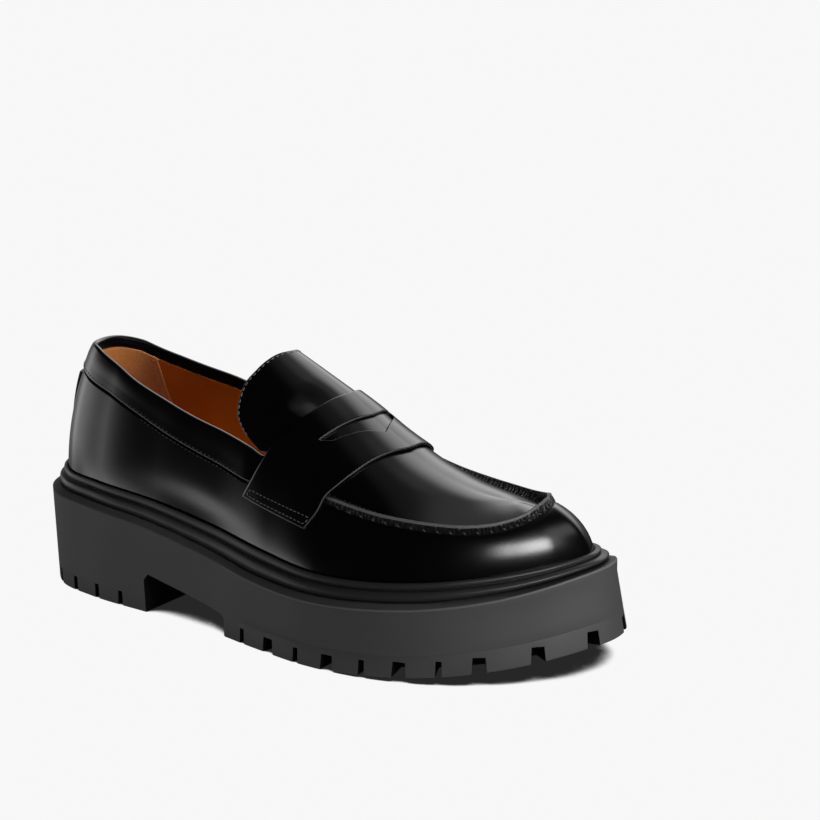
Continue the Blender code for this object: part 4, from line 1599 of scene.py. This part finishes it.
@dataclass
class TanLining:
    """Everything tan inside the shoe: lining, suede heel grip and sock."""

    finishes: Finishes
    around: int = 320
    gap: float = 0.12
    lining_thick: float = 0.7
    grip_thick: float = 0.6
    topline_turn: float = 3.6
    insole_thick: float = 3.0
    sock_thick: float = 2.2
    sock_dish: float = 0.6
    grip_foot: float = 2.0
    grip_rise: float = 46.0
    grip_front: tuple = ((50.0, 26.0), (36.0, 27.5), (26.0, 32.6), (20.0, 36.2), (0.0, 45.0))

    def build(self) -> None:
        """Build the lining, the grip, its seam and the sock."""
        self.lining()
        self.grip()
        self.grip_stitches()
        self.sock()

    def top_deg(self, c: Array, below: float) -> Array:
        """Degrees of a line a set distance below the rim, or the ridge where it is shut."""
        rim = LAST.edge("rim", c)
        return np.where(rim > SHUT_DEG, 90.0, rim - below * LAST.deg_per_mm(c, rim))

    def lining(self) -> Piece:
        """Lining on the inner face of the wall, up to the turned-in black edge."""
        rows = 40

        def place(u: Array, v: Array) -> Array:
            """Points of the lining's outer face."""
            c = LAST.even_c(u)
            top = self.top_deg(c, self.topline_turn)
            deg = top * (0.02 + 0.98 * v)
            return LAST.lifted(c, deg, DISH.lift(c, deg) - WALL - self.gap)

        lining = grid_piece("tan_lining", self.around, rows, place)
        close_seams(lining)
        self.face_in(lining)
        thicken(lining, self.lining_thick, 1.0)
        shade(lining, 60.0)
        return dress(lining, [self.finishes.lining], Slot.LINING)

    def face_in(self, sheet: Piece) -> None:
        """Turn an inner sheet's faces towards the foot."""
        lowest = min(sheet.data.polygons, key=lambda face: face.center.y)
        if lowest.normal.y < 0.0:
            flip(sheet)

    def grip_edge(self, deg: Array) -> Array:
        """Station of the grip's front edge at a height up the rib."""
        rows = sorted(self.grip_front)
        return np.interp(deg, [row[0] for row in rows], [row[1] for row in rows])

    def grip_place(self, u: Array, v: Array, lift: float) -> Array:
        """Points of the grip; u runs from its outer front edge round to its inner one."""
        side = 1.0 - 2.0 * u
        deg = self.grip_foot + self.grip_rise * v
        c = np.mod(side * LAST.at_station(self.grip_edge(deg)), 2.0)
        top = self.top_deg(c, self.topline_turn - 0.4)
        deg = self.grip_foot + (top - self.grip_foot) * v
        c = np.mod(side * LAST.at_station(self.grip_edge(deg)), 2.0)
        return LAST.lifted(c, deg, lift)

    def grip(self) -> Piece:
        """Suede grip round the heel, lying on the lining."""
        lift = -WALL - self.gap - self.lining_thick - 0.05
        grip = grid_piece("suede_heel_grip", 90, 40, lambda u, v: self.grip_place(u, v, lift))
        self.face_in(grip)
        thicken(grip, self.grip_thick, 1.0)
        round_edges(grip, 0.2)
        shade(grip, 50.0)
        return dress(grip, [self.finishes.suede], Slot.LINING)

    def grip_stitches(self) -> Piece:
        """Two rows of tan stitches along each front edge of the grip."""
        runs = []
        v = np.linspace(0.05, 0.97, 80)
        lift = -WALL - self.gap - self.lining_thick - self.grip_thick - 0.05
        for inset in (0.028, 0.085):
            for u in (inset * 0.5, 1.0 - inset * 0.5):
                line = self.grip_place(np.full(80, u), v, lift)
                ahead = self.grip_place(np.full(80, u), v, lift - 1.0)
                runs.append((line, unit(ahead - line)))
        row = StitchRow("grip_stitches", self.finishes.tan_thread, Slot.LINING, pitch=2.4, length=1.7,
                        width=0.45, height=0.35)
        return row.sew(runs, 0.05)

    def sock(self) -> Piece:
        """Sock on its board, dished a little under the heel and ball."""
        def place(u: Array, v: Array) -> Array:
            """Points of the sock's top face."""
            c = eased(u, 0.5)
            sides = []
            for value in (c, 2.0 - c):
                foot = LAST.point(value, 0.0)
                z = LAST.bed(foot[:, 0]) + CLEARANCE + self.insole_thick
                deg = LAST.deg_at_height(value, z)
                side = LAST.lifted(value, deg, -WALL - self.gap - self.lining_thick - 0.1)
                side[:, 2] = z
                sides.append(side)
            middle = sides[0] * (1 - v)[:, None] + sides[1] * v[:, None]
            bow = np.sin(np.pi * v) * np.sin(np.pi * np.clip(u, 0.0, 1.0))
            middle[:, 2] = LAST.bed(middle[:, 0]) + CLEARANCE + self.insole_thick - self.sock_dish * bow
            return middle

        sock = grid_piece("tan_sock", 150, 28, place)
        close_seams(sock)
        turn_out(sock, UPWARD)
        thicken(sock, self.sock_thick)
        shade(sock, 50.0)
        return dress(sock, [self.finishes.lining], Slot.LINING, "insole")


@dataclass
class Tongue:
    """Free end of the apron, standing up behind the strap."""

    finishes: Finishes
    thick: float = 2.2
    bulge: float = 1.4
    bulge_deg: float = 55.5
    dent: float = 1.4
    dent_deg: float = 70.0
    dent_fade: float = 10.0
    fold_width: float = 6.0
    fold_reach: float = 14.0
    fold_start: tuple = (-3.0, 0.5)
    fold_hold: float = 3.0
    stitch_inset: float = 0.026

    def lift(self, c: Array, deg: Array) -> Array:
        """Fold of the tongue where the strap presses it down: a bulge under a dent.

        Args:
            c: Round-the-shoe values.
            deg: Degrees up the rib.

        Returns:
            Lift of its outer face in millimetres.
        """
        rear = np.interp(deg, column(STRAP_BAND, "rear_deg"), column(STRAP_BAND, "rear_station"))
        behind = rear - LAST.station(c)
        fade = 1.0 - ramp(behind, self.fold_hold, self.fold_reach)
        near = ramp(behind, *self.fold_start) * fade * (c <= 1.0)
        bulge = self.bulge * bell(deg - self.bulge_deg, self.fold_width)
        width = np.where(deg > self.dent_deg, self.dent_fade, self.fold_width)
        dent = self.dent * bell((deg - self.dent_deg) / width, 1.0)
        return (bulge - dent) * near

    def build(self) -> None:
        """Build the tongue and the stitches along its free edge."""
        def place(u: Array, v: Array) -> Array:
            """Points of the tongue's outer face."""
            c, deg = band_places(TONGUE_BAND, TONGUE_SKEW, u, v)
            return LAST.lifted(c, deg, self.lift(c, deg))

        tongue = grid_piece("apron_tongue", 130, 56, place)
        turn_out(tongue, UPWARD)
        layers = [self.finishes.leather, self.finishes.pale_edge, self.finishes.lining]
        lay_materials(tongue, layers)
        thicken(tongue, self.thick, material_offset_rim=1, material_offset=2)
        round_edges(tongue, 0.4, 3, material=1)
        shade(tongue, 50.0)
        dress(tongue, layers, Slot.LEATHER, "tongue")
        along = np.linspace(0.07, 0.93, 300)
        c, deg = band_places(TONGUE_BAND, TONGUE_SKEW, along, np.full(300, self.stitch_inset))
        # Tongue stitches in the grey thread, a painted highlight.
        row = StitchRow("tongue_stitches", self.finishes.pale_thread, Slot.LEATHER, pitch=2.5, length=1.9,
                        width=0.75, height=0.42)
        row.sew([surface_run(c, deg, self.lift(c, deg))], 0.03)


@dataclass
class SaddleStrap:
    """Strap over the instep with its cut-out slot and sewn ends."""

    finishes: Finishes
    slot_upper_lip: float = 0.385
    slot_middle_deg: float = 85.0
    slot_half_deg: float = 31.0
    end_segments: int = 44
    slot_segments: int = 90
    rear_segments: int = 14
    front_segments: int = 20
    turned_width: float = 2.6
    box_along: tuple = (0.016, 0.043)
    box_across: tuple = (0.09, 0.93)
    box_round: float = 0.035

    def rear_edge(self) -> tuple[Array, Array]:
        """Places along the strap, and the degrees of its rear edge there."""
        rear = column(STRAP_BAND, "rear_deg")
        whole = np.concatenate([rear, 180.0 - rear[-2::-1]])
        return np.linspace(0.0, 1.0, len(whole)), whole

    def slot_range(self) -> tuple[float, float]:
        """Where the slot starts and ends along the strap."""
        places, whole = self.rear_edge()
        ends = (self.slot_middle_deg - self.slot_half_deg, self.slot_middle_deg + self.slot_half_deg)
        return tuple(np.interp(ends, whole, places))

    def shares(self, along: Array, v: Array) -> Array:
        """Share across the strap for grid rows: rear part, slot, front part."""
        start, end = self.slot_range()
        deg = np.interp(along, *self.rear_edge())
        spot = np.abs(deg - self.slot_middle_deg) / self.slot_half_deg
        low = smooth(column(SLOT_LOWER_LIP, "along"), column(SLOT_LOWER_LIP, "across"), spot)
        inside = (along > start - 1e-9) & (along < end + 1e-9)
        low = np.where(inside, low, self.slot_upper_lip)
        row = np.round(v * (self.rear_segments + 1 + self.front_segments))
        rear_share = self.slot_upper_lip * row / self.rear_segments
        front_share = low + (1.0 - low) * (row - self.rear_segments - 1) / self.front_segments
        return np.where(row <= self.rear_segments, rear_share, front_share)

    def build(self) -> None:
        """Build the strap and the boxed stitches at its two ends."""
        start, end = self.slot_range()
        stops = np.concatenate([
            np.linspace(0.0, start, self.end_segments + 1)[:-1],
            np.linspace(start, end, self.slot_segments + 1)[:-1],
            np.linspace(end, 1.0, self.end_segments + 1)])
        u_count = len(stops) - 1
        v_count = self.rear_segments + 1 + self.front_segments

        def place(u: Array, v: Array) -> Array:
            """Points of the strap's outer face."""
            along = stops[np.round(u * u_count).astype(int)]
            c, deg = band_places(STRAP_BAND, STRAP_SKEW, along, self.shares(along, v))
            return LAST.lifted(c, deg, CLEARANCE + STRAP_THICK)

        strap = grid_piece("saddle_band", u_count, v_count, place)
        u_low, v_low = face_corners(strap, u_count, v_count)
        first = self.end_segments
        gone = (v_low == self.rear_segments) & (u_low >= first) & (u_low < first + self.slot_segments)
        drop_faces(strap, gone)
        close_seams(strap)
        turn_out(strap, UPWARD)
        lay_materials(strap, [self.finishes.leather, self.finishes.edge])
        thicken(strap, STRAP_THICK)
        round_edges(strap, 0.42, material=1)
        self.blacken_rear(strap)
        shade(strap, 50.0)
        dress(strap, [self.finishes.leather, self.finishes.edge], Slot.LEATHER, "saddle_strap")
        self.backing()
        self.end_stitches()

    def blacken_rear(self, strap: Piece) -> None:
        """Give the strap's turned rear edge the leather of its face, which is not rubbed there."""
        along = np.linspace(0.04, 0.96, 400)
        c, deg = band_places(STRAP_BAND, STRAP_SKEW, along, np.zeros(400))
        line = (LAST.lifted(c, deg, CLEARANCE + STRAP_THICK) - ORIGIN) * MM
        count = len(strap.data.polygons)
        middles = np.zeros(count * 3, dtype=np.float32)
        kinds = np.zeros(count, dtype=np.int32)
        strap.data.polygons.foreach_get("center", middles)
        strap.data.polygons.foreach_get("material_index", kinds)
        rubbed = np.flatnonzero(kinds == 1)
        spots = middles.reshape(-1, 3)[rubbed]
        gap = np.linalg.norm(spots[:, None, :] - line[None, :, :], axis=-1).min(axis=1)
        kinds[rubbed[gap < self.turned_width * MM]] = 0
        strap.data.polygons.foreach_set("material_index", kinds)

    def backing(self) -> Piece:
        """Leather that shows through the slot, let in under the strap."""
        start, end = self.slot_range()

        def place(u: Array, v: Array) -> Array:
            """Points of the backing's outer face."""
            along = start - 0.03 + (end - start + 0.06) * u
            c, deg = band_places(STRAP_BAND, STRAP_SKEW, along, 0.2 + 0.62 * v)
            return LAST.lifted(c, deg, CLEARANCE - 0.02)

        backing = grid_piece("slot_backing", 80, 30, place)
        turn_out(backing, UPWARD)
        thicken(backing, 0.2)
        shade(backing, 60.0)
        return dress(backing, [self.finishes.leather], Slot.LEATHER)

    def end_stitches(self) -> Piece:
        """Two rows with rounded ends, sewn as a box at each end of the strap."""
        low, high = self.box_along
        left, right = self.box_across
        turn = np.linspace(0.0, np.pi, 12)
        middle = 0.5 * (low + high)
        half = 0.5 * (high - low)
        along = np.concatenate([
            np.full(60, low), middle - half * np.cos(turn), np.full(60, high), middle + half * np.cos(turn)])
        share = np.concatenate([
            np.linspace(left, right, 60), right + self.box_round * np.sin(turn),
            np.linspace(right, left, 60), left - self.box_round * np.sin(turn)])
        runs = []
        for side in Side:
            at = along if side is Side.OUTER else 1.0 - along
            c, deg = band_places(STRAP_BAND, STRAP_SKEW, at, share)
            runs.append(surface_run(c, deg, CLEARANCE + STRAP_THICK))
        # Strap stitches in the grey thread, a painted highlight.
        row = StitchRow("strap_stitches", self.finishes.pale_thread, Slot.LEATHER, pitch=2.1, length=1.6,
                        width=0.52, height=0.38)
        return row.sew(runs, 0.06)


@dataclass
class HeelStrip:
    """Narrow strip over the back seam."""

    finishes: Finishes
    head: float = 13.0
    foot: float = 8.0
    thick: float = 0.9
    foot_gap: float = 1.0
    head_gap: float = 3.0
    half_turn: float = 0.01
    sewn_at: tuple = (0.07, 0.93)

    def spot(self, u: Array, v: Array) -> tuple[Array, Array]:
        """Round value and degrees on the strip."""
        low = float(LAST.deg_at_height(np.array(0.0), lookup(PROFILE, "rand", np.array(0.0)) + self.foot_gap))
        high = float(LAST.edge("seam", np.array(0.0))) - self.head_gap
        deg = low + (high - low) * v
        half = self.foot + (self.head - self.foot) * v
        chord = LAST.point(self.half_turn, deg) - LAST.point(-self.half_turn, deg)
        speed = np.linalg.norm(chord, axis=-1) / (2.0 * self.half_turn)
        return (2.0 * u - 1.0) * half / speed, deg

    def build(self) -> None:
        """Build the strip and a row of stitches along each edge."""
        def place(u: Array, v: Array) -> Array:
            """Points of the strip's outer face."""
            c, deg = self.spot(u, v)
            return LAST.lifted(c, deg, CLEARANCE + self.thick)

        strip = grid_piece("heel_tab", 30, 40, place)
        turn_out(strip, BACKWARD)
        lay_materials(strip, [self.finishes.leather, self.finishes.edge])
        thicken(strip, self.thick, material_offset_rim=1)
        round_edges(strip, 0.25, material=0)
        shade(strip, 50.0)
        dress(strip, [self.finishes.leather, self.finishes.edge], Slot.LEATHER, "heel_strip")
        runs = []
        v = np.linspace(0.02, 0.98, 90)
        for u in self.sewn_at:
            c, deg = self.spot(np.full(90, u), v)
            runs.append(surface_run(c, deg, CLEARANCE + self.thick))
        row = StitchRow("heel_tab_stitches", self.finishes.thread, Slot.LEATHER, pitch=2.2, length=1.5,
                        width=0.42, height=0.36)
        row.sew(runs, 0.06)


class Seen(Enum):
    """What a light does: lights matte faces, shows in the shine, or both."""

    BOTH = "both"
    MATTE = "matte"
    SHINE = "shine"


@dataclass(frozen=True)
class SoftBox:
    """One soft light: where it stands round the shoe, its size and its brightness."""

    name: str
    azimuth: float
    elevation: float
    distance: float
    width: float
    height: float
    brightness: float
    seen: Seen = Seen.BOTH
    round: bool = False
    spread: float = 180.0
    aim: tuple = (0.0, 0.0, 0.06)
    fade: float = 0.35

    def area(self) -> float:
        """Shining area in square metres."""
        return self.width * self.height * (0.25 * math.pi if self.round else 1.0)

    def soften(self, lamp: bpy.types.AreaLight) -> None:
        """Fade the light towards its edges, as cloth over a lamp does."""
        lamp.use_nodes = True
        tree = lamp.node_tree
        place = add_node(tree, "ShaderNodeNewGeometry", {}).outputs["Parametric"]
        parts = add_node(tree, "ShaderNodeSeparateXYZ", {"Vector": place})
        fades = []
        for axis in ("X", "Y"):
            inset = add_node(tree, "ShaderNodeMath", {0: parts.outputs[axis], 1: 0.5}, operation="PINGPONG")
            fades.append(add_node(tree, "ShaderNodeMapRange", {
                "Value": inset.outputs[0], "From Max": self.fade}, interpolation_type="SMOOTHSTEP"))
        both = add_node(tree, "ShaderNodeMath", {
            0: fades[0].outputs["Result"], 1: fades[1].outputs["Result"]}, operation="MULTIPLY")
        tree.links.new(both.outputs[0], tree.nodes["Emission"].inputs["Strength"])

    def add(self) -> None:
        """Place the light, facing the shoe and out of the camera's sight."""
        a = math.radians(self.azimuth)
        e = math.radians(self.elevation)
        away = Vector((math.sin(a) * math.cos(e), -math.cos(a) * math.cos(e), math.sin(e)))
        bpy.ops.object.light_add(type="AREA")
        lamp = bpy.context.object
        lamp.name = self.name
        lamp.data.shape = "ELLIPSE" if self.round else "RECTANGLE"
        lamp.data.size = self.width
        lamp.data.size_y = self.height
        lamp.data.energy = self.brightness * math.pi * self.area()
        lamp.data.spread = math.radians(self.spread)
        lamp.location = away * self.distance + Vector(self.aim)
        lamp.rotation_euler = (-away).to_track_quat("-Z", "Y").to_euler()
        self.soften(lamp.data)
        lamp.visible_camera = False
        lamp.visible_glossy = self.seen is not Seen.MATTE
        lamp.visible_diffuse = self.seen is not Seen.SHINE


@dataclass
class Studio:
    """Pale floor, soft boxes and the camera at the photo's angle."""

    eye: tuple = (0.6561, -0.9301, 0.3961)
    right: tuple = (0.8368, 0.5476, 0.0)
    up: tuple = (-0.1417, 0.2166, 0.9659)
    back: tuple = (0.5289, -0.8083, 0.2588)
    focal_px: float = 2820.0
    image_px: float = 820.0
    sensor: float = 36.0
    floor_half: float = 14.0
    paper: float = 0.935
    shadow: float = 0.02
    contact_reach: float = 0.035
    contact_dark: float = 0.27
    contact_light: float = 0.42
    matte_sky: float = 0.11
    shine_sky: float = 0.003
    boxes: tuple = (
        SoftBox("toe_box", 67.0, 25.5, 1.2, 0.72, 0.44, 17.0, Seen.SHINE, True),
        SoftBox("toe_side", 98.0, 36.0, 1.2, 1.0, 0.44, 1.3, Seen.SHINE),
        SoftBox("far_panel", -172.0, 33.0, 1.3, 2.5, 1.4, 1.75, Seen.SHINE),
        SoftBox("far_wide", -172.0, 22.0, 1.3, 2.4, 1.9, 0.2, Seen.SHINE),
        SoftBox("far_veil", -155.0, 66.0, 1.3, 1.6, 0.9, 0.3, Seen.SHINE),
        SoftBox("top_veil", 180.0, 80.0, 1.3, 1.6, 1.3, 0.12, Seen.SHINE),
        SoftBox("heel_panel", -81.0, 0.0, 1.2, 1.5, 0.85, 1.5, Seen.SHINE),
        SoftBox("heel_back", -124.0, 0.0, 1.2, 1.4, 1.0, 0.25, Seen.SHINE),
        SoftBox("low_strip", -54.0, -16.0, 1.2, 0.7, 0.24, 2.6, Seen.SHINE),
        SoftBox("side_key", 88.0, 10.0, 1.2, 0.8, 0.8, 8.0, Seen.MATTE, fade=0.02),
        SoftBox("mouth_fill", -25.0, 66.0, 0.5, 0.06, 0.06, 1.0, Seen.MATTE, True, 18.0,
                (-0.06, 0.02, 0.08), 0.02),
    )

    def build(self) -> None:
        """Set up the floor, the lights and the camera."""
        self.floor()
        self.world()
        for box in self.boxes:
            box.add()
        self.camera()
        bpy.context.scene.view_settings.view_transform = "Standard"

    def floor(self) -> None:
        """Paper that glows evenly, with a painted contact shadow where the sole stands close over it."""
        floor = primitive(bpy.ops.mesh.primitive_plane_add, size=2.0 * self.floor_half)
        floor.name = "studio_floor"
        material, tree, shader = new_material("pale_studio_paper")
        # The glow dims with occlusion near the sole: a painted contact shadow.
        near = add_node(tree, "ShaderNodeAmbientOcclusion", {"Distance": self.contact_reach}, samples=32)
        glow = add_node(tree, "ShaderNodeMapRange", {
            "Value": near.outputs["AO"], "From Min": self.contact_dark, "From Max": self.contact_light,
            "To Min": self.shadow, "To Max": self.paper}, interpolation_type="SMOOTHSTEP")
        set_sockets(shader, {"Base Color": (0.0, 0.0, 0.0, 1.0), "Roughness": 1.0,
                             "Specular IOR Level": 0.0, "Emission Color": (1.0, 1.0, 1.0, 1.0)})
        tree.links.new(glow.outputs["Result"], shader.inputs["Emission Strength"])
        floor.data.materials.append(material)
        floor.visible_glossy = False
        floor.visible_shadow = False

    def world(self) -> None:
        """Weak even light for matte faces, dark in the shine, paper white to the eye."""
        world = bpy.data.worlds.new("studio_dome")
        bpy.context.scene.world = world
        world.use_nodes = True
        tree = world.node_tree
        path = add_node(tree, "ShaderNodeLightPath", {})
        unseen = add_node(tree, "ShaderNodeMix", {
            "Factor": path.outputs["Is Glossy Ray"], 2: self.matte_sky, 3: self.shine_sky}, data_type="FLOAT")
        level = add_node(tree, "ShaderNodeMix", {
            "Factor": path.outputs["Is Camera Ray"], 2: unseen.outputs[0], 3: self.paper}, data_type="FLOAT")
        tree.links.new(level.outputs[0], tree.nodes["Background"].inputs["Strength"])
        tree.nodes["Background"].inputs["Color"].default_value = (1.0, 1.0, 1.0, 1.0)

    def camera(self) -> None:
        """Camera solved from the photo."""
        bpy.ops.object.camera_add()
        camera = bpy.context.object
        axes = Matrix((self.right, self.up, self.back)).transposed().to_4x4()
        camera.matrix_world = Matrix.Translation(Vector(self.eye)) @ axes
        camera.data.sensor_width = self.sensor
        camera.data.lens = self.focal_px / self.image_px * self.sensor
        camera.data.clip_start = 0.01
        camera.data.clip_end = 100.0
        bpy.context.scene.camera = camera


def main() -> None:
    """Build every sub-assembly in order and note the size of the dressed shoe."""
    logging.basicConfig(level=logging.INFO, format="%(name)s %(message)s")
    finishes = Finishes.make()
    for assembly in (
        RubberSole(finishes), LeatherUpper(finishes), TanLining(finishes), Tongue(finishes),
        SaddleStrap(finishes), HeelStrip(finishes), Studio(),
    ):
        assembly.build()
        LOG.info("%s done", type(assembly).__name__)


if __name__ == "__main__":
    main()
